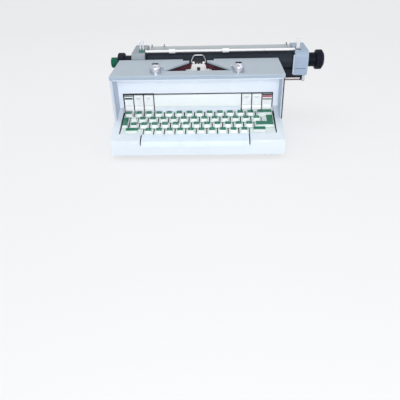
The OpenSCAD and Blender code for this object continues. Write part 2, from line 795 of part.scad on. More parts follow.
// A hand lever on its hub, drawn in Y and Z
module lever_blade(x0, x1, top_z) {
    hub = [lever_y, lever_z];
    difference() {
        along_x(x0, x1) polygon(concat(
            arc(hub, 4, 150, 390, 12),
            [[lever_y + 1.5, end_top_z + 4], [lever_y + 1, top_z - 1.5]],
            arc([lever_y - 0.5, top_z - 1.5], 1.5, 0, 180, 6),
            [[lever_y - 2.5, end_top_z + 4]]
        ));
        rod_x(x0 - 1, x1 + 1, lever_y, lever_z, lever_pin_d + 2 * running);
    }
}

module paper_release_lever() {
    color("silver") machine() lever_blade(carriage_right + 4.4, carriage_right + 11, 161);
}

module carriage_release_lever() {
    color("silver") machine() lever_blade(carriage_left - 6, carriage_left - 3.6, 165);
}

module line_space_lever() {
    color("silver") machine() lever_blade(carriage_left - 11.4, carriage_left - 9, 163.5);
}

// One key: a base plate and a raised cap with a dished top. The plate's middle is at the place given.
module key(w, d, cap_width, cap_depth, cap_shift = 0) {
    dish = 0.7;
    foot = cap_depth / 2 + 1.2;
    top = cap_depth / 2;
    along_x(-w / 2, w / 2)
        polygon([[-d / 2, -cap_h], [d / 2, -cap_h], [d / 2, plate_h - cap_h], [-d / 2, plate_h - cap_h]]);
    along_x(cap_shift - cap_width / 2, cap_shift + cap_width / 2) polygon([
        [-foot, plate_h - cap_h - slack], [foot, plate_h - cap_h - slack], [top, 0], [top - 1, 0],
        [top * 0.5, -dish * 0.7], [0, -dish], [-top * 0.5, -dish * 0.7], [1 - top, 0], [-top, 0]]);
}

module place_key(row, column) {
    translate([column_x(column), row_y(row), row_z(row)]) rotate([key_tilt, 0, 0]) children();
}

plate_d = norm([row_pitch, row_rise]) - key_gap;

module key_row(row) {
    color("mediumseagreen") machine() {
        for (c = row_columns[row - 1]) place_key(row, c) key(key_pitch - key_gap, plate_d, cap_w, 11.5);
        if (row == 2) place_key(2, 0.61) key(14, plate_d, 8, 11.5);
    }
}

// Lever plate under a key, from its hub on the fulcrum rod to the underside of the plate,
// sunk into it by sink
module key_lever(x, y, z, sink = 0) {
    foot_z = z - cap_h / cos(key_tilt) + sink;
    lean = 3 * tan(key_tilt);
    color("lightsteelblue") difference() {
        along_x(x - lever_t / 2, x + lever_t / 2) polygon(concat(
            arc([fulcrum_y, fulcrum_z], hub_r, -50, 130, 10),
            [[fulcrum_y - 24, lever_floor_z + 14], [186, lever_floor_z + 12],
             [y + 8, lever_floor_z + 7], [y + 3, foot_z + lean],
             [y - 3, foot_z - lean], [y - 3, lever_floor_z], [186, lever_floor_z + 6]]
        ));
        rod_x(x - 2, x + 2, fulcrum_y, fulcrum_z, fulcrum_d + 2 * running);
    }
}

module key_levers(row) {
    extra = row == 2 ? [0.5] : [];
    machine() for (c = concat(row_columns[row - 1], extra)) key_lever(column_x(c), row_y(row), row_z(row));
}

module key_row_1() { key_row(1); }
module key_row_2() { key_row(2); }
module key_row_3() { key_row(3); }
module key_row_4() { key_row(4); }
module key_levers_1() { key_levers(1); }
module key_levers_2() { key_levers(2); }
module key_levers_3() { key_levers(3); }
module key_levers_4() { key_levers(4); }

// A function key between two X limits, with its own lever
module function_key(x0, x1, y, z, d, cap_width, cap_depth, cap_x, lever_x) {
    mid = (x0 + x1) / 2;
    translate([mid, y, z]) rotate([key_tilt, 0, 0]) key(x1 - x0, d, cap_width, cap_depth, cap_x - mid);
    key_lever(lever_x, y, z, 1);
}

key_left_x = -well_x + key_gap;
key_right_x = well_x - key_gap;

module tab_key() {
    x1 = column_x(0.25) - key_gap;
    mid_y = (row_y(2) + row_y(3)) / 2;
    mid_z = (row_z(2) + row_z(3)) / 2;
    color("seagreen") machine()
        function_key(key_left_x, x1, mid_y, mid_z, plate_d * 2 + key_gap, 9.4, 24,
                     (key_left_x + x1) / 2, column_x(-0.125));
}

module shift_key_left() {
    color("seagreen") machine()
        function_key(key_left_x, column_x(1.75) - key_gap / 2, row_y(4), row_z(4), plate_d, 22, 11.5,
                     -118.2, column_x(0.375));
}

module shift_key_right() {
    color("seagreen") machine()
        function_key(column_x(11.75) + key_gap / 2, key_right_x, row_y(4), row_z(4), plate_d, 21, 11.5,
                     110.5, column_x(12.625));
}

// L-shaped return key over two rows
module return_key() {
    x0 = column_x(13.0) + key_gap / 2;
    x_low = column_x(12.25) + key_gap / 2;
    cap_x = 131;
    color("seagreen") machine() {
        translate([(x0 + key_right_x) / 2, row_y(2), row_z(2)]) rotate([key_tilt, 0, 0])
            key(key_right_x - x0, plate_d, 11, 12, cap_x - (x0 + key_right_x) / 2);
        function_key(x_low, key_right_x, row_y(3), row_z(3), plate_d, 31, 9, 121, column_x(13.75));
        translate([(x0 + key_right_x) / 2, (row_y(2) + row_y(3)) / 2, (row_z(2) + row_z(3)) / 2])
            rotate([key_tilt, 0, 0]) key(key_right_x - x0, 6, 11, 14, cap_x - (x0 + key_right_x) / 2);
    }
}

module backspace_key() {
    color("seagreen") machine()
        function_key(column_x(12.5) + key_gap / 2, key_right_x, row_y(1), row_z(1), plate_d, 26, 11.5,
                     123.7, column_x(13.25));
}

// Space bar that folds over the front crease, on two levers
module space_bar() {
    skin = 2.4;
    back_y = well_front_y - 1.2;
    front_y = bar_front_y;
    front_t = 1.6;
    top_back = wing_z(back_y) - 0.2;
    top_front = wing_z(3) - 0.2;
    color("gainsboro") machine() {
        along_x(bar_left, bar_right) polygon([
            [back_y, top_back], [3, top_front], [0.4, chin_z + 0.2], [-1.4, chin_z - 0.8], [front_y, chin_z - 2.6],
            [front_y, 24.5], [front_y + front_t, 24.5], [front_y + front_t, chin_z - 3.4], [1, chin_z - 2.4],
            [3, top_front - skin], [back_y, top_back - skin]]);
        for (c = [3.125, 10.125]) difference() {
            along_x(column_x(c) - lever_t / 2, column_x(c) + lever_t / 2) polygon(concat(
                arc([fulcrum_y, fulcrum_z], hub_r, -50, 130, 10),
                [[fulcrum_y - 24, lever_floor_z + 14], [186, lever_floor_z + 12], [22, lever_floor_z + 6],
                 [15, wing_z(15) - skin - 0.2], [8, wing_z(8) - skin - 0.2], [8, lever_floor_z],
                 [186, lever_floor_z + 6]]));
            rod_x(column_x(c) - 2, column_x(c) + 2, fulcrum_y, fulcrum_z, fulcrum_d + 2 * running);
        }
    }
}

// X limits of the openings for the control buttons in the front panel
button_spans = [[-138.5, -121.3], [-120.5, -102.5], [-101.7, -83.4],
                [81.4, 99.5], [100.3, 118.3], [119.1, 137.5]];

// A control button: an upper finger face and a lower face that leans out over the keys
module control_button(i) {
    span = button_spans[i];
    side_gap = 0.6;
    z0 = 59;
    z1 = 86;
    middle = (span[0] + span[1]) / 2;
    machine() {
        along_x(span[0] + side_gap, span[1] - side_gap) polygon([
            [panel_y + 4, z0 + 2], [panel_y - 4, z0], [panel_y - 4.6, z0 + 1], [panel_y - 2.8, 66.2],
            [panel_y - 2.4, z1 - 1], [panel_y - 1.6, z1], [panel_y + 4, z1]]);
        block([middle - stem_w / 2, panel_y + 4 - slack, stem_z], [middle + stem_w / 2, panel_y + 12.5, stem_z + 3]);
    }
}

module margin_button() { color("honeydew") control_button(0); }
module tab_set_button() { color("honeydew") control_button(1); }
module tab_clear_button() { color("honeydew") control_button(2); }
module repeat_button() { color("honeydew") control_button(3); }
module power_button() { color("honeydew") control_button(4); }
module ribbon_switch() { color("honeydew") control_button(5); }

base_pan();
rubber_feet();
cheek_left();
cheek_right();
keyboard_surround();
front_panel();
top_cover();
rear_cover();
mains_inlet();
motor();
motor_pulley();
drive_belt();
power_roller();
fulcrum_rod();
type_segment();
typebars();
center_typebar();
type_guide();
card_holder();
ribbon_posts();
ribbon();
ribbon_spool_left();
ribbon_spool_right();
carriage_bed();
cross_frame();
carriage_frame();
carriage_end_left();
carriage_end_right();
paper_table();
feed_rollers();
platen();
platen_shaft();
knob_left();
knob_right();
clutch_button();
bail_bar();
bail_rollers();
paper_release_lever();
carriage_release_lever();
line_space_lever();
key_row_1();
key_row_2();
key_row_3();
key_row_4();
key_levers_1();
key_levers_2();
key_levers_3();
key_levers_4();
tab_key();
shift_key_left();
shift_key_right();
return_key();
backspace_key();
space_bar();
margin_button();
tab_set_button();
tab_clear_button();
repeat_button();
power_button();
ribbon_switch();
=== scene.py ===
"""Looks of an electric typewriter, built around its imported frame.

Lengths in the classes are millimetres of the machine: X from the middle of the body,
Y from the front face, Z from the table. The method ``at`` turns them into the frame's metres.
"""

from __future__ import annotations

import json
import logging
import math
from dataclasses import dataclass, field
from enum import Enum
from typing import Callable, Sequence

import bmesh
import bpy
from mathutils import Matrix, Vector

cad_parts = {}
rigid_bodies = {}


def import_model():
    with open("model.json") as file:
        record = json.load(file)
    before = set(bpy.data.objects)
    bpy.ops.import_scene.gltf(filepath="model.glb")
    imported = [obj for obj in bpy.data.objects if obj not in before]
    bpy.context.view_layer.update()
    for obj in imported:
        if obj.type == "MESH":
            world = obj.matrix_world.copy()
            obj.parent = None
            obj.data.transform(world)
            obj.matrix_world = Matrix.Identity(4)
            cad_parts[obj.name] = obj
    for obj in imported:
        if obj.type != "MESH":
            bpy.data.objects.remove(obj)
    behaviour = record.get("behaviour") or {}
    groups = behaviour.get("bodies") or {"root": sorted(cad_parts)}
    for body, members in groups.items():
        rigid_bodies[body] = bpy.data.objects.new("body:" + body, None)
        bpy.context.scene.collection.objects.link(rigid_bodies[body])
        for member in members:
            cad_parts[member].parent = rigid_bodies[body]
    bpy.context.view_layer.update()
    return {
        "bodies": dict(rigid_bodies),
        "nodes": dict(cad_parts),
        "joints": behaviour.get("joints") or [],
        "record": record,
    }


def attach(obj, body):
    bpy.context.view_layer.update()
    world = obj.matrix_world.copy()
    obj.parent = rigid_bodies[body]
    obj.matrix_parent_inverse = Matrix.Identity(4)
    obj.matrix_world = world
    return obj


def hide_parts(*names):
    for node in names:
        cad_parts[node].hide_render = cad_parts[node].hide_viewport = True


LOG = logging.getLogger("typewriter")
MM = 0.001
Point = Sequence[float]
Spot = Callable[[float, float, float], Point]
Outline = Sequence[tuple[float, float]]
Colour = tuple[float, float, float]
Socket = bpy.types.NodeSocket
Material = bpy.types.Material
Piece = bpy.types.Object


@dataclass(frozen=True)
class Frame:
    """Where the middle of the outer box lies in machine millimetres."""

    middle_x: float = 34.75
    middle_y: float = 126.45

    def at(self, x: float, y: float, z: float) -> Vector:
        """Return the frame point, in metres, of a machine point in millimetres."""
        return Vector(((x - self.middle_x) * MM, (y - self.middle_y) * MM, z * MM))


FRAME = Frame()


@dataclass(frozen=True)
class KeyGrid:
    """Places of the keys, as the keyboard's rows and columns."""

    pitch: float = 19.05
    row_pitch: float = 18.5
    rise: float = 3.4
    back_y: float = 84.0
    back_z: float = 55.6
    zero_x: float = -131.0
    gap: float = 1.8

    @property
    def tilt(self) -> float:
        """Return the slope of the keyboard in radians."""
        return math.atan2(self.rise, self.row_pitch)

    @property
    def plate_depth(self) -> float:
        """Return the depth of a key's base plate."""
        return math.hypot(self.rise, self.row_pitch) - self.gap

    def spot(self, row: float, column: float) -> Vector:
        """Return the middle of a key's top in machine millimetres."""
        return Vector((
            self.zero_x + column * self.pitch,
            self.back_y - self.row_pitch * (row - 1),
            self.back_z - self.rise * (row - 1),
        ))


KEYS = KeyGrid()


class Sheen(Enum):
    """How a moulded or painted surface was finished."""

    MATT = 0.62
    SATIN = 0.42
    GLOSS = 0.24


class Nodes:
    """A node tree, with short calls that make and link its nodes."""

    def __init__(self, tree: bpy.types.NodeTree) -> None:
        """Keep a tree and empty it.

        Args:
            tree: The node tree of a material or a world.
        """
        self.tree = tree
        tree.nodes.clear()

    def feed(self, entry: Socket, value: object) -> None:
        """Link a socket to an input, or set the input where the value is fixed."""
        if isinstance(value, Socket):
            self.tree.links.new(value, entry)
        else:
            entry.default_value = value

    def fill(self, node: bpy.types.Node, values: dict[str, object]) -> None:
        """Feed a node's inputs by name, with the spaces of a name written as underscores."""
        for name, value in values.items():
            self.feed(node.inputs[name.replace("_", " ")], value)

    def node(self, kind: str, *values: object, **named: object) -> bpy.types.Node:
        """Return a new node.

        Args:
            kind: The kind of node, without the word that shader nodes start with.
            values: Its first inputs, as sockets or fixed values.
            named: Other inputs by name.

        Returns:
            The node.
        """
        made = self.tree.nodes.new(f"ShaderNode{kind}")
        for entry, value in zip(made.inputs, values):
            self.feed(entry, value)
        self.fill(made, named)
        return made

    def math(self, operation: str, *terms: Socket | float) -> Socket:
        """Return the result of an operation on sockets and fixed numbers.

        Args:
            operation: The operation, as the Math node names it.
            terms: What it works on.

        Returns:
            The socket with the result.
        """
        node = self.node("Math", *terms)
        node.operation = operation
        return node.outputs["Value"]

    def shown(self) -> Socket:
        """Return 1 for rays of the camera, of gloss and through clear matter, and 0 for the others.

        Returns:
            The socket with the value.
        """
        paths = self.node("LightPath").outputs
        indirect = self.math("MAXIMUM", paths["Is Glossy Ray"], paths["Is Transmission Ray"])
        return self.math("MAXIMUM", paths["Is Camera Ray"], indirect)

    def mixed(self, share: Socket, first: Socket, second: Socket) -> Socket:
        """Return the mix of two shaders by a share."""
        return self.node("MixShader", share, first, second).outputs["Shader"]


class NodeSheet(Nodes):
    """One material's node tree, with short calls for what the finishes share."""

    def __init__(self, name: str) -> None:
        """Make a material with a Principled shader.

        Args:
            name: Name of the material.
        """
        self.material = bpy.data.materials.new(name)
        self.material.use_nodes = True
        super().__init__(self.material.node_tree)
        self.shader = self.node("BsdfPrincipled")
        self.output = self.node("OutputMaterial", self.shader.outputs["BSDF"])
        self.place = self.node("TexCoord").outputs["Object"]
        self.axes: bpy.types.bpy_prop_collection | None = None

    def finish(self, **values: object) -> Material:
        """Feed the shader's inputs and return the material."""
        self.fill(self.shader, values)
        return self.material

    def noise(self, scale: float, detail: float, rough: float, stretch: Point | None = None) -> Socket:
        """Return a noise value.

        Args:
            scale: Grains per metre.
            detail: Octaves of the noise.
            rough: Share that each octave keeps.
            stretch: Factor along each axis, for grain that runs one way.

        Returns:
            The socket with the noise value, from 0 to 1.
        """
        place = self.place
        if stretch:
            place = self.node("Mapping", Vector=place, Scale=stretch).outputs["Vector"]
        node = self.node("TexNoise", Vector=place, Scale=scale, Detail=detail, Roughness=rough)
        return node.outputs["Fac"]

    def mottle(
        self, value: Socket, colour: Colour, dark: float, light: float, start: float = 0.3, end: float = 0.7,
    ) -> Socket:
        """Return a colour that grows lighter with a value.

        Args:
            value: The value.
            colour: The colour.
            dark: Factor of the colour where the value is low.
            light: Factor of the colour where the value is high.
            start: Value up to which the colour stays dark.
            end: Value from which the colour stays light.

        Returns:
            The socket with the colour.
        """
        node = self.node("ValToRGB", value)
        for stop, place, factor in zip(node.color_ramp.elements, (start, end), (dark, light)):
            stop.position = place
            stop.color = (*[min(1.0, part * factor) for part in colour], 1.0)
        return node.outputs["Color"]

    def level(self, value: Socket, low: float, high: float, start: float = 0.0, end: float = 1.0) -> Socket:
        """Return a value moved from the span start to end into the span low to high."""
        spans = {"From_Min": start, "From_Max": end, "To_Min": low, "To_Max": high}
        return self.node("MapRange", Value=value, **spans).outputs["Result"]

    def blend(self, share: Socket, first: Socket, second: Socket) -> Socket:
        """Return the mix of two colours by a share.

        Args:
            share: Share of the second colour.
            first: The first colour.
            second: The second colour.

        Returns:
            The socket with the mix.
        """
        node = self.node("Mix")
        node.data_type = "RGBA"
        for number, socket in ((0, share), (6, first), (7, second)):
            self.feed(node.inputs[number], socket)
        return node.outputs[2]

    def slab(self, axis: int, low: float, high: float) -> Socket:
        """Return 1 where a machine coordinate lies between two limits, and 0 elsewhere.

        Args:
            axis: 0 for X, 1 for Y or 2 for Z.
            low: Lower limit in millimetres.
            high: Upper limit in millimetres.

        Returns:
            The socket with the mask.
        """
        start = FRAME.at(low, low, low)[axis]
        end = FRAME.at(high, high, high)[axis]
        if self.axes is None:
            self.axes = self.node("SeparateXYZ", self.place).outputs
        return self.math("COMPARE", self.axes[axis], (start + end) / 2, (end - start) / 2)

    def region(self, low: Point, high: Point) -> Socket:
        """Return 1 inside a box of the machine and 0 outside it."""
        across, along, up = (self.slab(axis, low[axis], high[axis]) for axis in range(3))
        return self.math("MULTIPLY", self.math("MULTIPLY", across, along), up)

    def above_keys(self, height: float) -> Socket:
        """Return 1 where a point lies above a plane that is parallel to the key tops.

        Args:
            height: Distance of the plane from the key tops, in millimetres.

        Returns:
            The socket with the mask.
        """
        foot = FRAME.at(0.0, KEYS.back_y, KEYS.back_z)
        upright = Vector((0.0, -math.sin(KEYS.tilt), math.cos(KEYS.tilt)))
        cut = self.node("VectorMath", self.place, upright)
        cut.operation = "DOT_PRODUCT"
        return self.math("GREATER_THAN", cut.outputs["Value"], upright.dot(foot) + height * MM)

    def relief(self, height: Socket, strength: float, depth: float, under: Socket | None = None) -> Socket:
        """Return a normal that follows a height.

        Args:
            height: The height value.
            strength: Strength of the bump.
            depth: Height of one unit, in millimetres.
            under: A normal that this one lies on.

        Returns:
            The normal socket.
        """
        node = self.node("Bump", Height=height, Strength=strength, Distance=depth * MM)
        if under is not None:
            self.feed(node.inputs["Normal"], under)
        return node.outputs["Normal"]


@dataclass(frozen=True)
class Finish:
    """A finish that makes one material and keeps it for later calls."""

    name: str

    def material(self) -> Material:
        """Return this finish's material, made on the first call.

        Returns:
            The material.
        """
        label = f"{self.name}_finish"
        found = bpy.data.materials.get(label)
        if found is None:
            found = self.make()
            found.name = label
        return found

    def make(self) -> Material:
        """Make the material. Each kind of finish has its own."""
        raise NotImplementedError


@dataclass(frozen=True)
class Patch:
    """A box of the machine, in millimetres, inside which a finish has another colour."""

    low: Point
    high: Point
    colour: Colour
    bare_metal: bool = False
    grain: float = 0.1


@dataclass(frozen=True)
class Paint(Finish):
    """Stoved enamel on sheet metal: fine orange peel, soft handling marks and a little dust."""

    colour: Colour
    patches: tuple[Patch, ...] = ()
    sheen: Sheen = Sheen.SATIN
    peel: float = 0.05
    dust: float = 0.5
    shine: float = 0.45

    def make(self) -> Material:
        """Make the enamel.

        Returns:
            The material.
        """
        sheet = NodeSheet(self.name)
        cloud = sheet.noise(9, 4, 0.6)
        base = sheet.mottle(cloud, self.colour, 0.965, 1.02)
        rubbed = sheet.mottle(cloud, self.colour, 0.90, 0.95)
        marks = sheet.level(sheet.noise(75, 8, 0.7), 0.0, self.dust, 0.58, 0.85)
        skin = sheet.blend(marks, base, rubbed)
        metal: Socket | float = 0.0
        for patch in self.patches:
            inside = sheet.region(patch.low, patch.high)
            grain = sheet.noise(160, 5, 0.7)
            tone = sheet.mottle(grain, patch.colour, 1 - patch.grain, 1 + patch.grain)
            skin = sheet.blend(inside, skin, tone)
            if patch.bare_metal:
                metal = sheet.math("MAXIMUM", metal, inside)
        sheen = sheet.level(sheet.noise(32, 5, 0.65), self.sheen.value - 0.05, self.sheen.value + 0.1)
        peel = sheet.relief(sheet.noise(700, 2, 0.5), 0.3, self.peel)
        return sheet.finish(
            Base_Color=skin, Metallic=metal, Roughness=sheen, Normal=peel,
            Coat_Weight=self.shine / 4, Coat_Roughness=0.25, Specular_IOR_Level=self.shine,
        )


@dataclass(frozen=True)
class Moulding(Finish):
    """Moulded plastic with a faint grain and a slight change of colour over its surface."""

    colour: Colour
    sheen: Sheen = Sheen.SATIN
    grain: float = 0.01
    glow: float = 0.0
    change: float = 0.05
    shine: float = 0.5

    def make(self) -> Material:
        """Make the plastic.

        Returns:
            The material.
        """
        sheet = NodeSheet(self.name)
        light, dark = 1 + self.change, 1 - self.change
        base = sheet.mottle(sheet.noise(48, 4, 0.6), self.colour, dark, light, 0.32, 0.68)
        worn = sheet.mottle(sheet.noise(420, 4, 0.7), self.colour, 0.93, light, 0.35, 0.65)
        share = sheet.level(sheet.noise(130, 6, 0.7), 0.0, 0.7, 0.45, 0.75)
        sheen = sheet.level(sheet.noise(90, 5, 0.6), self.sheen.value - 0.06, self.sheen.value + 0.12)
        grain = sheet.relief(sheet.noise(1300, 2, 0.5), 0.3, self.grain)
        return sheet.finish(
            Base_Color=sheet.blend(share, base, worn), Roughness=sheen, Normal=grain,
            Coat_Weight=self.glow, Coat_Roughness=0.12, Specular_IOR_Level=self.shine,
        )


@dataclass(frozen=True)
class TwoShot(Finish):
    """Key moulding in two colours: a pale body and a coloured skin over the top of its cap."""

    body: Colour
    top: Colour
    skin: float
    pale_fronts: tuple[tuple[Point, Point], ...] = ()

    def make(self) -> Material:
        """Make the two-colour plastic.

        Returns:
            The material.
        """
        sheet = NodeSheet(self.name)
        cloud = sheet.noise(60, 4, 0.6)
        pale = sheet.mottle(cloud, self.body, 0.95, 1.04, 0.32, 0.68)
        deep = sheet.mottle(cloud, self.top, 0.82, 1.2, 0.32, 0.68)
        coloured = sheet.above_keys(-self.skin)
        for low, high in self.pale_fronts:
            coloured = sheet.math("MULTIPLY", coloured, sheet.level(sheet.region(low, high), 1.0, 0.0))
        sheen = sheet.level(sheet.noise(90, 5, 0.6), 0.2, 0.42)
        grain = sheet.relief(sheet.noise(1300, 2, 0.5), 0.3, 0.012)
        return sheet.finish(
            Base_Color=sheet.blend(coloured, pale, deep), Roughness=sheen, Normal=grain,
            Coat_Weight=0.25, Coat_Roughness=0.12,
        )


@dataclass(frozen=True)
class Rubber(Finish):
    """Ground black rubber: dull, with a fine turned grain round the axis and a bloom of paper dust."""

    colour: Colour
    turned: bool = False
    bloom: float = 0.5

    def make(self) -> Material:
        """Make the rubber.

        Returns:
            The material.
        """
        sheet = NodeSheet(self.name)
        grain = sheet.noise(60, 5, 0.7, (40, 1.2, 1.2) if self.turned else (1, 1, 1))
        base = sheet.mottle(grain, self.colour, 0.75, 1.6)
        bloom = sheet.mottle(grain, self.colour, 2.2, 3.4)
        share = sheet.level(sheet.noise(26, 7, 0.7), 0.0, self.bloom, 0.48, 0.78)
        fine = sheet.relief(sheet.noise(900, 3, 0.6), 0.25, 0.03, sheet.relief(grain, 0.25, 0.04))
        return sheet.finish(
            Base_Color=sheet.blend(share, base, bloom),
            Roughness=sheet.level(grain, 0.42, 0.62),
            Normal=fine,
            Specular_IOR_Level=0.15,
        )


class Run(Enum):
    """Direction in which a metal was drawn or ground, as the stretch of its grain."""

    ALONG_X = (0.6, 30.0, 30.0)
    ALONG_Y = (30.0, 0.6, 30.0)
    NONE = (1.0, 1.0, 1.0)


@dataclass(frozen=True)
class Metal(Finish):
    """Bare or plated metal with ground marks that run one way."""

    colour: Colour
    rough: float
    run: Run = Run.NONE
    tarnish: float = 0.35

    def make(self) -> Material:
        """Make the metal.

        Returns:
            The material.
        """
        sheet = NodeSheet(self.name)
        grain = sheet.noise(70, 6, 0.7, self.run.value)
        base = sheet.mottle(grain, self.colour, 0.88, 1.06)
        dull = sheet.mottle(grain, self.colour, 0.6, 0.78)
        share = sheet.level(sheet.noise(38, 7, 0.7), 0.0, self.tarnish, 0.5, 0.8)
        sheen = sheet.level(grain, max(0.03, self.rough - 0.06), self.rough + 0.1)
        marks = sheet.relief(grain, 0.12, 0.02)
        return sheet.finish(
            Base_Color=sheet.blend(share, base, dull), Metallic=1.0, Roughness=sheen, Normal=marks,
        )


@dataclass(frozen=True)
class Weave(Finish):
    """Inked ribbon cloth: fine crossing threads with darker and drier patches."""

    colour: Colour

    def make(self) -> Material:
        """Make the cloth.

        Returns:
            The material.
        """
        sheet = NodeSheet(self.name)
        ink = sheet.noise(220, 5, 0.7)
        across = sheet.noise(1800, 1, 0.5, (1, 1, 0.12))
        up = sheet.noise(1800, 1, 0.5, (0.12, 0.12, 1))
        threads = sheet.relief(up, 0.5, 0.05, sheet.relief(across, 0.5, 0.05))
        colour = sheet.mottle(ink, self.colour, 0.65, 1.7, 0.3, 0.72)
        return sheet.finish(
            Base_Color=colour, Roughness=sheet.level(ink, 0.5, 0.78), Normal=threads,
            Sheen_Weight=0.25, Sheen_Roughness=0.4,
        )


class Wardrobe:
    """All the finishes of the machine."""

    case = Paint("case_enamel", (0.68, 0.752, 0.815))
    # Cheek enamel: a darker, bluer copy of the case enamel, painted shade for the cheeks.
    cheek = Paint("cheek_shade_enamel", (0.52, 0.59, 0.70), (
        # Near black along the right cheek's outer front edge: painted shade of that cheek's outer side.
        Patch((150.8, 40, 20), (154, 57, 131), (0.02, 0.024, 0.032)),
    ))
    lid = Paint("lid_enamel", (0.45, 0.53, 0.60), (
        Patch((-170, 50, 110), (170, 54.9, 132.7), (0.33, 0.415, 0.51), grain=0.02),
    ), peel=0.03, dust=0.25)
    panel = Paint("panel_enamel", (0.78, 0.835, 0.93), (
        Patch((-82.05, 91.5, 61.9), (80.05, 94.45, 86.6), (0.87, 0.915, 0.93), grain=0.015),
        # Near black across the panel below Z 51.5, behind and under the keys: painted shade.
        Patch((-146, 90, 20), (146, 99, 51.5), (0.012, 0.013, 0.015)),
    ), peel=0.04, dust=0.3)
    pan = Paint("pan_enamel", (0.06, 0.064, 0.07), sheen=Sheen.MATT)
    frame = Paint("frame_enamel", (0.014, 0.016, 0.021), shine=0.12)
    racked = Paint("racked_enamel", (0.014, 0.017, 0.025), (
        Patch((-200, 181.2, 83.9), (300, 183.99, 88.05), (0.62, 0.56, 0.57), True),
        Patch((206.4, 181.9, 79.9), (213, 192.1, 97.1), (0.55, 0.60, 0.61)),
        Patch((-131, 181.9, 79.9), (-124.4, 192.1, 97.1), (0.55, 0.60, 0.61)),
    ), dust=0.4, shine=0.12)
    motor = Paint("motor_enamel", (0.10, 0.11, 0.12))
    # The two end covers are one enamel in two tones: the left darker as painted shade, the right lighter as
    # painted light.
    shaded_left_end = Paint("left_end_enamel", (0.285, 0.33, 0.38), peel=0.04, dust=0.3)
    lit_right_end = Paint("right_end_enamel", (0.35, 0.445, 0.57), peel=0.04, dust=0.3)
    table = Paint("table_enamel", (0.53, 0.575, 0.60), (
        Patch((-110, 222, 141.55), (200, 232.2, 147), (0.10, 0.11, 0.11)),
    ), peel=0.04, dust=0.3)
    spool = Paint("spool_enamel", (0.012, 0.012, 0.013), (
        Patch((-120, 100, 113.25), (120, 150, 120.1), (0.075, 0.005, 0.02)),
    ), peel=0.02, dust=0.3)
    bar = Moulding("bar_plastic", (0.70, 0.80, 0.885), grain=0.02)
    plate = Moulding("plate_plastic", (0.74, 0.83, 0.82), grain=0.015, glow=0.15)
    cap_side = Moulding("cap_side_plastic", (0.84, 0.90, 0.885), Sheen.GLOSS, glow=0.3)
    cap_top = Moulding("cap_top_plastic", (0.006, 0.17, 0.085), Sheen.GLOSS, glow=0.3, change=0.14)
    legend = Moulding("legend_plastic", (0.36, 0.52, 0.45), grain=0.005)
    two_shot = TwoShot("two_shot_plastic", (0.77, 0.85, 0.83), (0.006, 0.17, 0.085), 1.3, (
        ((-150, 10, 30), (-105, 26.4, 60)),
        ((100, 10, 30), (150, 26.4, 60)),
        ((100, 76, 40), (150, 81.6, 70)),
    ))
    button = Moulding("button_plastic", (0.83, 0.865, 0.88), Sheen.GLOSS, glow=0.2)
    mark_green = Moulding("mark_green", (0.006, 0.06, 0.035))
    mark_red = Moulding("mark_red", (0.42, 0.06, 0.12))
    # Grey for the printed ticks, and for the painted shade of the buttons' creases.
    mark_and_crease_shade_grey = Moulding("mark_and_crease_shade_grey", (0.45, 0.44, 0.52))
    black = Moulding("black_plastic", (0.008, 0.008, 0.011))
    knob = Moulding("knob_plastic", (0.003, 0.005, 0.013), grain=0.03, shine=0.15)
    clutch = Moulding("clutch_plastic", (0.001, 0.12, 0.07), grain=0.02, change=0.2, shine=0.2)
    collar = Moulding("collar_plastic", (0.03, 0.19, 0.13))
    # A dark blue-grey line of painted shade along the crease of the end covers.
    crease_shade = Moulding("crease_shade_plastic", (0.10, 0.14, 0.20), Sheen.MATT)
    white = Moulding("white_plastic", (0.95, 0.955, 0.96), grain=0.006, glow=0.1, change=0.015)
    socket = Moulding("socket_plastic", (0.015, 0.015, 0.016), Sheen.MATT, grain=0.03)
    bail = Moulding("bail_enamel", (0.89, 0.90, 0.91), Sheen.GLOSS, glow=0.3)
    platen = Rubber("platen_rubber", (0.014, 0.019, 0.026), turned=True, bloom=0.35)
    foot = Rubber("foot_rubber", (0.02, 0.02, 0.02))
    steel = Metal("ground_steel", (0.56, 0.57, 0.59), 0.28, Run.ALONG_X)
    lever_steel = Metal("burnished_steel", (0.045, 0.047, 0.05), 0.4, Run.ALONG_Y)
    blade = Metal("blade_plate", (0.60, 0.62, 0.65), 0.32, Run.ALONG_Y, 0.15)
    bright = Metal("bright_plate", (0.64, 0.65, 0.73), 0.17, tarnish=0.1)
    wire = Metal("wire_steel", (0.50, 0.51, 0.53), 0.22, tarnish=0.2)
    ink = Weave("black_ribbon", (0.014, 0.012, 0.016))
    crimson = Weave("crimson_ribbon", (0.085, 0.006, 0.022))


def arc(middle: Point, radius: float, start: float, sweep: float, steps: int) -> list[tuple[float, float]]:
    """Return the points of an arc, whose start and sweep are degrees."""
    angles = [math.radians(start + sweep * k / steps) for k in range(steps + 1)]
    return [(middle[0] + radius * math.cos(a), middle[1] + radius * math.sin(a)) for a in angles]


def circle(radius: float, steps: int) -> list[tuple[float, float]]:
    """Return the points of a circle about zero."""
    return arc((0.0, 0.0), radius, 0, 360, steps)[:-1]


def rounded(width: float, depth: float, radius: float, steps: int = 4) -> list[tuple[float, float]]:
    """Return the outline of a rectangle with round corners, about its middle.

    Args:
        width: Size along the first axis.
        depth: Size along the second axis.
        radius: Radius of the corners.
        steps: Steps of each corner's arc.

    Returns:
        The outline's points.
    """
    x, y = width / 2 - radius, depth / 2 - radius
    corners = ((x, y), (-x, y), (-x, -y), (x, -y))
    return [point for k, corner in enumerate(corners) for point in arc(corner, radius, 90 * k, 90, steps)]


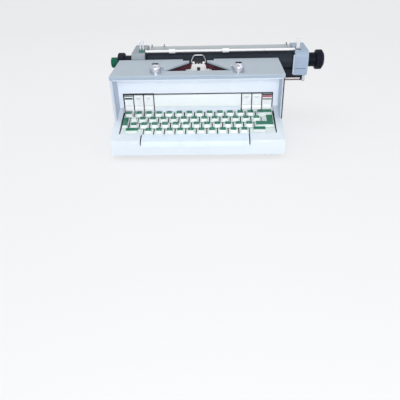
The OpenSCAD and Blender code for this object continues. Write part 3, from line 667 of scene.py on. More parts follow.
def curve(points: Sequence[Point], steps: int) -> list[Vector]:
    """Return a smooth line through points.

    Args:
        points: The points to pass.
        steps: Steps from each point to the next.

    Returns:
        The line's points, with the first and the last one given.
    """
    knots = [Vector(point) for point in points]
    knots = [2 * knots[0] - knots[1], *knots, 2 * knots[-1] - knots[-2]]
    line = []
    for a, b, c, d in zip(knots, knots[1:], knots[2:], knots[3:]):
        for t in (k / steps for k in range(steps)):
            square = (2 * a - 5 * b + 4 * c - d) * t ** 2
            cube = (3 * b - a - 3 * c + d) * t ** 3
            line.append(0.5 * (2 * b + (c - a) * t + square + cube))
    return [*line, knots[-2]]


def mirrored(points: Sequence[Point]) -> list[Point]:
    """Return points in reverse order, mirrored across the middle of the machine."""
    return [(-x, *rest) for x, *rest in reversed(points)]


class Form:
    """A mesh in the making, with the solids that it is made of in machine millimetres."""

    def __init__(self) -> None:
        """Start with an empty mesh."""
        self.mesh = bmesh.new()

    def freed(self, name: str) -> bpy.types.Mesh:
        """Return a mesh of the form, which is freed.

        Args:
            name: Name of the mesh.

        Returns:
            The mesh.
        """
        mesh = bpy.data.meshes.new(name)
        self.mesh.to_mesh(mesh)
        self.mesh.free()
        return mesh

    def loft(
        self,
        rings: Sequence[Sequence[Point]],
        index: int = 0,
        bands: dict[int, int] | None = None,
        end_index: int | None = None,
    ) -> None:
        """Join rings of the same number of points into a closed skin.

        Args:
            rings: The rings, from one end to the other.
            index: Material index of the faces.
            bands: Material index of the band that starts at a ring's number, where it differs.
            end_index: Material index of both ends, where it differs.
        """
        made = [[self.mesh.verts.new(point) for point in ring] for ring in rings]
        sides = [(bands or {}).get(number, index) for number in range(len(rings) - 1)]
        for low, high, side in zip(made, made[1:], sides):
            for k in range(len(low)):
                n = (k + 1) % len(low)
                self.mesh.faces.new((low[k], low[n], high[n], high[k])).material_index = side
        for ring, side in ((made[0][::-1], sides[0]), (made[-1], sides[-1])):
            self.mesh.faces.new(ring).material_index = side if end_index is None else end_index

    def prism(
        self,
        outline: Outline,
        start: float,
        end: float,
        index: int = 0,
        end_index: int | None = None,
        spot: Spot = lambda *point: point,
    ) -> None:
        """Add an outline drawn out straight.

        Args:
            outline: Points of the outline.
            start: Where it starts along its length.
            end: Where it ends.
            index: Material index of the sides.
            end_index: Material index of the ends, where it differs.
            spot: Turns a length and an outline point into a machine point. Unset, the length is X.
        """
        self.loft([[spot(t, u, v) for u, v in outline] for t in (start, end)], index, None, end_index)

    def spun(self, profile: Outline, foot: Point, axis: int, steps: int) -> None:
        """Turn a profile of (length, radius) about a line.

        Args:
            profile: Points of the profile.
            foot: Where the line starts.
            axis: 0 for a line along X, 1 along Y or 2 along Z.
            steps: Points round the line.
        """
        order = [(number - axis) % 3 for number in range(3)]
        rings = []
        for along, radius in profile:
            ring = [(along, *point) for point in circle(radius, steps)]
            rings.append([[start + point[k] for start, k in zip(foot, order)] for point in ring])
        self.loft(rings)

    def tube(self, path: Sequence[Vector], radius: float, sides: int = 12) -> None:
        """Add a wire of one radius along a path.

        Args:
            path: Points along the wire's middle.
            radius: Radius of the wire.
            sides: Sides of its round section.
        """
        rings = []
        across = Vector((0, 1, 0))
        for k, point in enumerate(path):
            ahead = (path[min(k + 1, len(path) - 1)] - path[max(k - 1, 0)]).normalized()
            across = (across - ahead * across.dot(ahead)).normalized()
            other = ahead.cross(across)
            rings.append([point + u * across + v * other for u, v in circle(radius, sides)])
        self.loft(rings)

    def box(self, low: Point, high: Point, edge: float, index: int = 0) -> None:
        """Add a box with rounded upright edges and softened top and bottom.

        Args:
            low: The corner with the lowest values.
            high: The corner with the highest values.
            edge: Size of the rounding.
            index: Number of the box's finish.
        """
        middle = [(a + b) / 2 for a, b in zip(low, high)]
        width, depth = high[0] - low[0], high[1] - low[1]
        rings = []
        for z, inset in ((low[2], edge), (low[2] + edge, 0.0), (high[2] - edge, 0.0), (high[2], edge)):
            outline = rounded(width - 2 * inset, depth - 2 * inset, max(edge * 0.9, 0.02), 2)
            rings.append([(middle[0] + x, middle[1] + y, z) for x, y in outline])
        self.loft(rings, index)


def placed(name: str, data: bpy.types.ID) -> Piece:
    """Return a new object with the given data, placed in the scene.

    Args:
        name: Name of the object.
        data: Its mesh, lamp or camera.

    Returns:
        The object.
    """
    made = bpy.data.objects.new(name, data)
    bpy.context.scene.collection.objects.link(made)
    return made


class Bench:
    """Makes mesh pieces from machine millimetres and hands them to the frame."""

    weld_mm: float = 0.002
    round_above: float = 32

    def __init__(self, frame: dict) -> None:
        """Keep the loaded frame.
        """
        self.nodes: dict[str, Piece] = frame["nodes"]

    def dress(self, finish: Finish, *names: str, round_mm: float = 0.0, segments: int = 2) -> None:
        """Give CAD nodes a finish and, if asked, rounded edges.

        Args:
            finish: The finish that they take.
            names: Names of the CAD nodes.
            round_mm: Radius of their edges in millimetres, or 0 for none.
            segments: Steps of the rounding.
        """
        for name in names:
            piece = self.nodes[name]
            piece.data.materials.clear()
            piece.data.materials.append(finish.material())
            weld = piece.modifiers.new("weld", "WELD")
            weld.merge_threshold = self.weld_mm * MM
            if round_mm:
                self.soften(piece, round_mm, segments)
            self.smooth(piece)

    def soften(self, piece: Piece, round_mm: float, segments: int = 2) -> None:
        """Round a piece's edges to a radius in millimetres.

        Args:
            piece: The piece.
            round_mm: The radius.
            segments: Steps of the rounding.
        """
        edge = piece.modifiers.new("round", "BEVEL")
        edge.width = round_mm * MM
        edge.segments = segments
        edge.limit_method = "ANGLE"
        edge.angle_limit = math.radians(self.round_above)

    def smooth(self, piece: Piece, degrees: float = 34) -> None:
        """Shade a piece smooth, with its sharp edges kept.

        Args:
            piece: The piece.
            degrees: Angle above which an edge stays sharp.
        """
        name = f"smooth_by_{degrees:.0f}"
        group = bpy.data.node_groups.get(name) or self.smooth_group(name, degrees)
        piece.modifiers.new("smooth", "NODES").node_group = group
        piece.modifiers.new("even", "WEIGHTED_NORMAL").keep_sharp = True

    @staticmethod
    def smooth_group(name: str, degrees: float) -> bpy.types.NodeTree:
        """Make the node group that shades smooth by angle.

        Args:
            name: Name of the group.
            degrees: Largest angle between faces that stays smooth.

        Returns:
            The node group.
        """
        group = bpy.data.node_groups.new(name, "GeometryNodeTree")
        for way in ("INPUT", "OUTPUT"):
            group.interface.new_socket("Geometry", in_out=way, socket_type="NodeSocketGeometry")
        angle = group.nodes.new("GeometryNodeInputMeshEdgeAngle")
        flat = group.nodes.new("FunctionNodeCompare")
        flat.operation = "LESS_EQUAL"
        flat.inputs[1].default_value = math.radians(degrees)
        faces = group.nodes.new("GeometryNodeSetShadeSmooth")
        faces.domain = "FACE"
        edges = group.nodes.new("GeometryNodeSetShadeSmooth")
        edges.domain = "EDGE"
        for start, end in (
            (angle.outputs["Unsigned Angle"], flat.inputs[0]),
            (group.nodes.new("NodeGroupInput").outputs[0], faces.inputs["Geometry"]),
            (faces.outputs["Geometry"], edges.inputs["Geometry"]),
            (flat.outputs["Result"], edges.inputs["Shade Smooth"]),
            (edges.outputs["Geometry"], group.nodes.new("NodeGroupOutput").inputs[0]),
        ):
            group.links.new(start, end)
        return group

    def piece(
        self,
        name: str,
        form: Form,
        body: str,
        finishes: Sequence[Finish],
        slot: str,
        replaces: Sequence[str] = (),
        round_mm: float = 0.0,
        degrees: float = 34,
    ) -> Piece:
        """Turn a form in machine millimetres into a piece that rides on a body.

        Args:
            name: Name of the piece.
            form: The form, which is freed.
            body: The CAD body that it rides on.
            finishes: One finish for each material index of the form.
            slot: The record's material slot; not used.
            replaces: CAD nodes that it stands for.
            round_mm: Radius of its edges in millimetres, or 0 for none.
            degrees: Angle above which an edge stays sharp.

        Returns:
            The new object.
        """
        for vertex in form.mesh.verts:
            vertex.co = FRAME.at(*vertex.co)
        bmesh.ops.recalc_face_normals(form.mesh, faces=form.mesh.faces)
        made = placed(name, form.freed(name))
        for finish in finishes:
            made.data.materials.append(finish.material())
        if round_mm:
            self.soften(made, round_mm)
        self.smooth(made, degrees)
        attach(made, body)
        if replaces:
            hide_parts(*replaces)
        return made


@dataclass(frozen=True)
class Lamp:
    """An area lamp: its place and target in machine millimetres, its size in metres and its watts."""

    name: str
    place: Point
    target: Point
    size: float
    watts: float

    def hang(self) -> None:
        """Add the lamp to the scene, turned to its target."""
        data = bpy.data.lights.new(self.name, "AREA")
        data.size = self.size
        data.energy = self.watts
        lamp = placed(self.name, data)
        lamp.location = FRAME.at(*self.place)
        aim = FRAME.at(*self.target) - lamp.location
        lamp.rotation_euler = aim.to_track_quat("-Z", "Y").to_euler()


@dataclass(frozen=True)
class Studio:
    """Camera at the photograph's place, plain floor, backdrop and soft light. The floor is in metres."""

    eye: Point = (30.72, -707.58, 363.02)
    yaw: float = -0.0404
    pitch: float = 0.5659
    roll: float = -0.0276
    lens: float = 39.96
    sensor: float = 36.0
    clip: tuple[float, float] = (0.01, 50.0)
    floor_colour: Colour = (0.80, 0.80, 0.81)
    floor_reach: float = 12.0
    floor_drop: float = 0.0002
    sweep_start: float = 1.1
    sweep_radius: float = 0.6
    wall_top: float = 3.2
    pale: Colour = (0.98, 0.985, 1.0)
    glow: float = 0.96
    far_glow: float = 0.83
    glow_share: float = 0.74
    sky: Colour = (0.95, 0.965, 1.0)
    world_level: float = 0.5
    lamps: tuple[Lamp, ...] = (
        Lamp("key_lamp", (30, -1150, 470), (20, 100, 70), 0.55, 8.9),
        Lamp("fill_lamp", (800, -500, 700), (40, 120, 90), 0.9, 1.6),
        Lamp("top_lamp", (-300, 300, 1200), (30, 150, 100), 0.9, 4.2),
    )

    def camera(self) -> None:
        """Place the camera that the photograph was fitted with."""
        sy, cy = math.sin(self.yaw), math.cos(self.yaw)
        sp, cp = math.sin(self.pitch), math.cos(self.pitch)
        sr, cr = math.sin(self.roll), math.cos(self.roll)
        level = Vector((cy, -sy, 0))
        rise = Vector((sp * sy, sp * cy, cp))
        right = cr * level + sr * rise
        up = -sr * level + cr * rise
        ahead = Vector((cp * sy, cp * cy, -sp))
        data = bpy.data.cameras.new("photo_camera")
        data.sensor_width = self.sensor
        data.lens = self.lens
        data.clip_start, data.clip_end = self.clip
        camera = placed("photo_camera", data)
        turn = Matrix((right, up, -ahead)).transposed()
        camera.matrix_world = Matrix.Translation(FRAME.at(*self.eye)) @ turn.to_4x4()
        bpy.context.scene.camera = camera

    def ground_material(self) -> Material:
        """Return the pale ground's finish: it takes shadows, and shows pale to camera and gloss.

        Returns:
            The material.
        """
        sheet = NodeSheet("pale_ground")
        pale = sheet.node("Emission", (*self.pale, 1.0), self.glow).outputs["Emission"]
        share = sheet.level(sheet.shown(), 0.0, self.glow_share)
        mix = sheet.mixed(share, sheet.shader.outputs["BSDF"], pale)
        sheet.feed(sheet.output.inputs["Surface"], mix)
        return sheet.finish(
            Base_Color=sheet.mottle(sheet.noise(9, 3, 0.5), self.floor_colour, 0.985, 1.0),
            Roughness=sheet.level(sheet.noise(40, 3, 0.5), 0.7, 0.85),
        )

    def ground(self) -> None:
        """Lay the floor, which curves up into a backdrop behind the machine."""
        form = Form()
        sweep = arc((self.sweep_start, self.sweep_radius), self.sweep_radius, -90, 90, 10)
        run = [(-self.floor_reach, 0.0), *sweep, (self.sweep_start + self.sweep_radius, self.wall_top)]
        left, right = (
            [form.mesh.verts.new((x, y, z - self.floor_drop)) for y, z in run]
            for x in (-self.floor_reach, self.floor_reach)
        )
        for k in range(len(run) - 1):
            form.mesh.faces.new((left[k], right[k], right[k + 1], left[k + 1])).smooth = True
        mesh = form.freed("ground")
        mesh.materials.append(self.ground_material())
        placed("ground", mesh)

    def world(self) -> None:
        """Set the light from all round, which shows paler to camera and gloss than it shines."""
        world = bpy.data.worlds.new("room")
        bpy.context.scene.world = world
        world.use_nodes = True
        sheet = Nodes(world.node_tree)
        near = sheet.node("Background", (*self.sky, 1.0), self.world_level).outputs["Background"]
        far = sheet.node("Background", (*self.pale, 1.0), self.far_glow).outputs["Background"]
        sheet.node("OutputWorld", sheet.mixed(sheet.shown(), near, far))

    def build(self) -> None:
        """Set up everything around the machine."""
        self.camera()
        self.ground()
        for lamp in self.lamps:
            lamp.hang()
        self.world()
        bpy.context.scene.view_settings.view_transform = "Standard"


@dataclass(frozen=True)
class Keyboard:
    """The keys: base plates, two-colour caps, their legends and the space bar."""

    bench: Bench
    cap_height: float = 7.2
    plate_height: float = 2.2
    cap_width: float = 10.4
    cap_depth: float = 9.0
    cap_back: float = 0.7
    dish: float = 0.55
    rim: float = 0.75
    legend_size: float = 4.2
    legend_squeeze: float = 0.9
    legend_lift: float = 0.1
    legend_steps: int = 3
    narrow_column: float = 0.61
    narrow_plate: float = 14.0
    narrow_cap: float = 8.0
    bar_left: float = -98.7
    bar_right: float = 90.7
    bar_back: float = 18.8
    bar_levers: tuple[float, float] = (3.125, 10.125)
    lever_half: float = 0.8
    chin_z: float = 35.0
    wing_slope: float = 27 / 94.5
    rows: dict[int, tuple[float, str]] = field(default_factory=lambda: {
        1: (0.0, "1234567890-=+"),
        2: (1.5, "QWERTYUIOP@*"),
        3: (0.75, "ASDFGHJKL;:'"),
        4: (2.25, "ZXCVBNM,./"),
    })

    def lay(self, middle: Vector, x: float, y: float, z: float) -> Vector:
        """Return a point of a key, given on its sloping plane, as a machine point."""
        c, s = math.cos(KEYS.tilt), math.sin(KEYS.tilt)
        return middle + Vector((x, y * c - z * s, y * s + z * c))

    def plate(self, form: Form, middle: Vector, width: float) -> None:
        """Add a key's base plate with rounded upper edges and black sides, which are painted shade in the
        gaps between the keys.

        Args:
            form: The form to add to.
            middle: Middle of the key's top.
            width: Width of the plate.
        """
        low, high = -self.cap_height, self.plate_height - self.cap_height
        profile = ((low, 0.0, 0.7), (high - 0.5, 0.0, 0.7), (high - 0.15, 0.15, 0.7), (high, 0.5, 0.6))
        rings = []
        for z, inset, corner in profile:
            outline = rounded(width - 2 * inset, KEYS.plate_depth - 2 * inset, corner, 3)
            rings.append([self.lay(middle, x, y, z) for x, y in outline])
        # The plate's upright side takes index 4, black: painted shade between the keys.
        form.loft(rings, 0, {0: 4})

    def cap(self, form: Form, middle: Vector, width: float, top: int = 2) -> None:
        """Add a raised cap with white sides and a dished coloured top.

        Args:
            form: The form to add to.
            middle: Middle of the cap's top.
            width: Width of the top.
            top: Material index of the top.
        """
        foot = self.plate_height - self.cap_height
        profile = (
            (foot - 0.1, -0.9, -1.75, -0.35, 0.9), (foot + 0.5, -0.55, -1.45, -0.3, 1.0),
            (-1.3, -0.14, -0.55, -0.1, 1.2), (-0.8, -0.05, -0.28, -0.04, 1.25),
            (-0.5, 0.0, -0.1, 0.0, 1.3), (-0.18, 0.12, 0.12, 0.0, 1.25),
            (0.0, 0.45, 0.45, 0.0, 1.1), (-0.02, self.rim, self.rim, 0.0, 1.0),
        )
        rings = []
        for z, inset, inset_y, lean, corner in profile:
            outline = rounded(width - 2 * inset, self.cap_depth - 2 * inset_y, corner)
            rings.append([self.lay(middle, x, y + lean, z) for x, y in outline])
        dish_width, dish_depth = width - 2 * self.rim, self.cap_depth - 2 * self.rim
        for share in (0.8, 0.55, 0.3, 0.08):
            sink = self.dish * (1 - share * share)
            outline = rounded(dish_width * share, dish_depth * share, 0.9 * share)
            rings.append([self.lay(middle, x, y, -0.02 - sink) for x, y in outline])
        form.loft(rings, 1, {k: top for k in range(4, len(rings) - 1)})

    def letters(self, form: Form, middle: Vector, text: str) -> None:
        """Add a legend that lies just on the dish of a cap.

        Args:
            form: The form to add to.
            middle: Middle of the cap's top.
            text: The legend.
        """
        script = bpy.data.curves.new("legend", "FONT")
        script.body = text
        script.size = self.legend_size
        script.align_x, script.align_y = "CENTER", "CENTER"
        script.resolution_u = self.legend_steps
        holder = bpy.data.objects.new("legend", script)
        mesh = bpy.data.meshes.new_from_object(holder)
        first = len(form.mesh.verts)
        form.mesh.from_mesh(mesh)
        form.mesh.verts.ensure_lookup_table()
        fresh = form.mesh.verts[first:]
        for vertex in fresh:
            x, y = vertex.co.x * self.legend_squeeze, vertex.co.y
            share = min(1.0, math.hypot(x / (self.cap_width / 2), y / (self.cap_depth / 2)))
            vertex.co = self.lay(middle, x, y, self.legend_lift - self.dish * (1 - share * share))
        marked = set(fresh)
        for face in form.mesh.faces:
            if face.verts[0] in marked:
                face.material_index = 3
        bpy.data.meshes.remove(mesh)
        bpy.data.objects.remove(holder)
        bpy.data.curves.remove(script)

    def row(self, number: int) -> None:
        """Build one row of character keys.

        Args:
            number: Number of the row.
        """
        start, legends = self.rows[number]
        form = Form()
        if number == 2:
            small = KEYS.spot(number, self.narrow_column)
            self.plate(form, small, self.narrow_plate)
            self.cap(form, self.lay(small, 0, self.cap_back, 0), self.narrow_cap, 1)
        for k, legend in enumerate(legends):
            middle = KEYS.spot(number, start + k)
            self.plate(form, middle, KEYS.pitch - KEYS.gap)
            top = self.lay(middle, 0, self.cap_back, 0)
            self.cap(form, top, self.cap_width)
            self.letters(form, top, legend)
        # The black finish is painted shade on the plates' sides.
        finishes = [Wardrobe.plate, Wardrobe.cap_side, Wardrobe.cap_top, Wardrobe.legend, Wardrobe.black]
        name = f"keys_row_{number}"
        self.bench.piece(name, form, f"row_{number}", finishes, "key_white", [f"key_row_{number}"])

    def wing(self, y: float) -> float:
        """Return the height of the wings at a distance from the front face."""
        return self.chin_z + self.wing_slope * y

    def space_bar(self) -> None:
        """Build the space bar that folds over the front crease, with its two levers; its black end faces and
        levers are painted shade in the gaps round the bar.
        """
        back, chin, wing = self.bar_back, self.chin_z, self.wing
        outline = [
            (back, wing(back) - 0.4), (back - 0.5, wing(back - 0.5) - 0.2), (4.2, wing(4.2) - 0.2),
            (2.2, wing(2.2) - 0.35), (0.4, chin + 0.1), (-1.2, chin - 0.9), (-2.1, chin - 2.2),
            (-2.5, chin - 3.8), (-2.6, 24.9), (-2.3, 24.5), (-1.3, 24.5), (-1.0, 24.9),
            (-1.0, chin - 3.8), (1.0, chin - 2.4), (3.0, wing(3) - 2.6), (back, wing(back) - 2.6),
        ]
        form = Form()
        # End faces take index 1, black: painted shade in the gaps at the bar's ends.
        form.prism(outline, self.bar_left, self.bar_right, 0, 1)
        lever = [
            (18, 29.8), (24, 29.4), (186, 36), (200, 46), (200, 52), (180, 38), (24, 32.4), (19.2, 31.4),
            (18.1, 33), (17.2, 37.4), (8, 34.8), (8, 26), (18, 26),
        ]
        for column in self.bar_levers:
            x = KEYS.spot(1, column).x
            # The levers take the same black, painted shade under the bar.
            form.prism(lever, x - self.lever_half, x + self.lever_half, 1)
        name, finishes = "space_bar_moulding", [Wardrobe.bar, Wardrobe.black]
        self.bench.piece(name, form, "space_bar", finishes, "case_plastic", ["space_bar"], round_mm=0.35)

    def build(self) -> None:
        """Build every key and the space bar."""
        for number in self.rows:
            self.row(number)
            self.bench.dress(Wardrobe.lever_steel, f"key_levers_{number}")
        self.space_bar()
        names = ("tab_key", "shift_key_left", "shift_key_right", "backspace_key", "return_key")
        self.bench.dress(Wardrobe.two_shot, *names, round_mm=0.55, segments=3)


@dataclass(frozen=True)
class CaseShell:
    """The fixed shells of the body, with what stands on and under them."""

    bench: Bench
    back_y: float = 255.0
    pan_z: float = 8.0
    wall_screws: Outline = ((-138, 18), (-138, 64), (138, 18), (138, 64))
    pan_screws: Outline = ((-120, 50), (-120, 205), (120, 50), (120, 205))

    def screws(self) -> None:
        """Set flat slotted screws in the back wall and round ones in the floor pan."""
        form = Form()
        flat = [(-0.2, 3.6), (0.15, 3.6), (0.4, 3.3), (0.42, 0.2)]
        wall, pan = self.back_y, self.pan_z
        for x, z in self.wall_screws:
            form.spun(flat, (x, wall, z), axis=1, steps=24)
            form.box((x - 2.7, wall + 0.3, z - 0.4), (x + 2.7, wall + 0.46, z + 0.4), 0.05, 1)
        dome = [(0.2, 3.8), (-0.6, 3.6), (-1.4, 2.4), (-1.7, 0.2)]
        for x, y in self.pan_screws:
            form.spun(dome, (x, y, pan), axis=2, steps=24)
            form.box((x - 2.4, y - 0.4, pan - 1.78), (x + 2.4, y + 0.4, pan - 1.3), 0.05, 1)
        self.bench.piece("case_screws", form, "chassis", [Wardrobe.wire, Wardrobe.black], "steel")

    def build(self) -> None:
        """Dress the shells and what stands on and under them."""
        dress = self.bench.dress
        # The cheeks take the darker enamel, which is painted shade.
        dress(Wardrobe.cheek, "cheek_left", "cheek_right", round_mm=0.8, segments=3)
        dress(Wardrobe.case, "keyboard_surround", "rear_cover", round_mm=0.8, segments=3)
        dress(Wardrobe.panel, "front_panel", round_mm=0.35)
        dress(Wardrobe.lid, "top_cover", round_mm=0.7, segments=3)
        dress(Wardrobe.pan, "base_pan", round_mm=0.3)
        dress(Wardrobe.foot, "rubber_feet", round_mm=0.4)
        dress(Wardrobe.socket, "mains_inlet", round_mm=0.2)
        self.screws()


@dataclass(frozen=True)
class ControlStrip:
    """The six control buttons above the keys, their marks and the black lines of painted shade round them.
    """

    bench: Bench
    panel_y: float = 94.5
    face_y: float = 91.95
    lip_inset: float = 0.2
    fold_inset: float = 0.4
    fold_y: tuple[float, float] = (91.52, 92.2)
    fold_z: tuple[float, float] = (65.8, 66.5)
    recess_left: float = -138.45
    recess_z: tuple[float, float] = (58.8, 86.9)
    widest_gap: float = 4.0
    side_lines: Outline = ((-140.6, -138.4), (-83.6, -82.15), (80.15, 81.4), (137.4, 139.0))
    side_z: tuple[float, float] = (60.5, 87.5)
    top_z: tuple[float, float] = (86.75, 88.5)
    plate_top_z: tuple[float, float] = (88.3, 89.4)
    foot_half: float = 0.9
    foot_z: tuple[float, float] = (51.6, 59.6)
    spans: dict[str, tuple[float, float]] = field(default_factory=lambda: {
        "margin_button": (-137.9, -121.9),
        "tab_set_button": (-119.9, -103.1),
        "tab_clear_button": (-101.1, -84.0),
        "repeat_button": (82.0, 98.9),
        "power_button": (100.9, 117.7),
        "ribbon_switch": (119.7, 136.9),
    })

    def bar(self, form: Form, x0: float, x1: float, z0: float, z1: float, index: int) -> None:
        """Add a flush bar to the upper face of a button."""
        form.box((x0, self.face_y - 0.16, z0), (x1, self.face_y + 0.5, z1), 0.08, index)

    def skirt(self, form: Form, x0: float, x1: float, index: int) -> None:
        """Add the lip that carries a button's lower face down to the keys."""
        lip = [(91.66, 66.0), (89.8, 60.3), (90.0, 57.3), (90.7, 57.3), (91.0, 60.0), (self.face_y, 66.0)]
        form.prism(lip, x0 + self.lip_inset, x1 - self.lip_inset, index)

    def fold(self, form: Form, x0: float, x1: float, index: int) -> None:
        """Draw a grey line of painted shade where a button folds from its upper to its lower face."""
        (y0, y1), (z0, z1) = self.fold_y, self.fold_z
        form.box((x0 + self.fold_inset, y0, z0), (x1 - self.fold_inset, y1, z1), 0.08, index)

    def trim(
        self, name: str, kind: str, slot: str, finishes: list[Finish], bars: Sequence[Point], fold: int,
    ) -> None:
        """Build what lies on a button: bars, a fold line and a lower lip, which has the last finish.

        Args:
            name: The button's body.
            kind: Last word of the piece's name.
            slot: The record's material slot.
            finishes: The finishes.
            bars: Half width, low Z, high Z and material index of each bar.
            fold: Material index of the fold line, which is painted shade of the crease, or -1 for none.
        """
        x0, x1 = self.spans[name]
        middle = (x0 + x1) / 2
        form = Form()
        for half, low, high, index in bars:
            self.bar(form, middle - half, middle + half, low, high, index)
        if fold >= 0:
            self.fold(form, x0, x1, fold)
        self.skirt(form, x0, x1, len(finishes) - 1)
        self.bench.piece(f"{name}_{kind}", form, name, finishes, slot)

    def marks(self) -> None:
        """Inlay the coloured bars of the buttons, each on its own button."""
        grey, button = Wardrobe.mark_and_crease_shade_grey, Wardrobe.button
        bars = ((7.8, 84.4, 85.9, 0), (7.1, 78.6, 81.8, 0))
        self.trim("margin_button", "bars", "key_green", [Wardrobe.mark_green, grey, button], bars, 1)
        bars = ((8.5, 83.6, 85.9, 0), (8.2, 80.0, 83.2, 1), (8.2, 75.4, 77.4, 0))
        finishes = [Wardrobe.black, Wardrobe.mark_red, button]
        self.trim("ribbon_switch", "bars", "black_plastic", finishes, bars, -1)
        bars = ((4.6, 80.6, 81.3, 0), (3.2, 78.7, 79.4, 0))
        for name in ("tab_set_button", "tab_clear_button", "repeat_button", "power_button"):
            self.trim(name, "lines", "button_white", [grey, button], bars, 0)

    def line(self, form: Form, x: Point, z: Point, edge: float = 0.1, proud: float = 0.5) -> None:
        """Draw a black line of painted shade on the panel's face between two X and two Z, standing proud of
        it.
        """
        form.box((x[0], self.panel_y - proud, z[0]), (x[1], self.panel_y + 0.3, z[1]), edge)

    def recess(self) -> None:
        """Line the gaps round the buttons with black, and the top of the strip: painted shade, in black
        pieces.
        """
        form = Form()
        edges = sorted(self.spans.values())
        between = [(a[1], b[0]) for a, b in zip(edges, edges[1:]) if b[0] - a[1] < self.widest_gap]
        y0, y1, (z0, z1) = self.panel_y + 0.6, self.panel_y + 2.4, self.recess_z
        for x0, x1 in ((self.recess_left, edges[0][0]), *between):
            form.box((x0 + 0.12, y0, z0), (x1 - 0.12, y1, z1), 0.05)
        for side in self.side_lines:
            self.line(form, side, self.side_z)
        left, right, plate_left = self.side_lines[0][0], self.side_lines[-1][1], self.side_lines[1][1]
        self.line(form, (left, right), self.top_z, 0.12)
        self.line(form, (left, plate_left), self.plate_top_z, 0.12, 0.52)
        feet = [edges[0][0] - 1, edges[2][1] + 1, edges[3][0] - 1, *[(x0 + x1) / 2 for x0, x1 in between]]
        for x in feet:
            self.line(form, (x - self.foot_half, x + self.foot_half), self.foot_z)
        self.bench.piece("strip_painted_shade", form, "chassis", [Wardrobe.black], "black_plastic")

    def build(self) -> None:
        """Dress the buttons and add what lies on and round them."""
        self.bench.dress(Wardrobe.button, *self.spans, round_mm=0.35)
        self.marks()
        self.recess()


@dataclass(frozen=True)
class Drive:
    """Motor, belt and power roller inside the case."""

    bench: Bench

    def build(self) -> None:
        """Dress the drive."""
        dress = self.bench.dress
        dress(Wardrobe.motor, "motor", round_mm=0.4)
        dress(Wardrobe.steel, "motor_pulley", "fulcrum_rod")
        dress(Wardrobe.foot, "drive_belt")
        dress(Wardrobe.platen, "power_roller")
        dress(Wardrobe.frame, "cross_frame", round_mm=0.3)


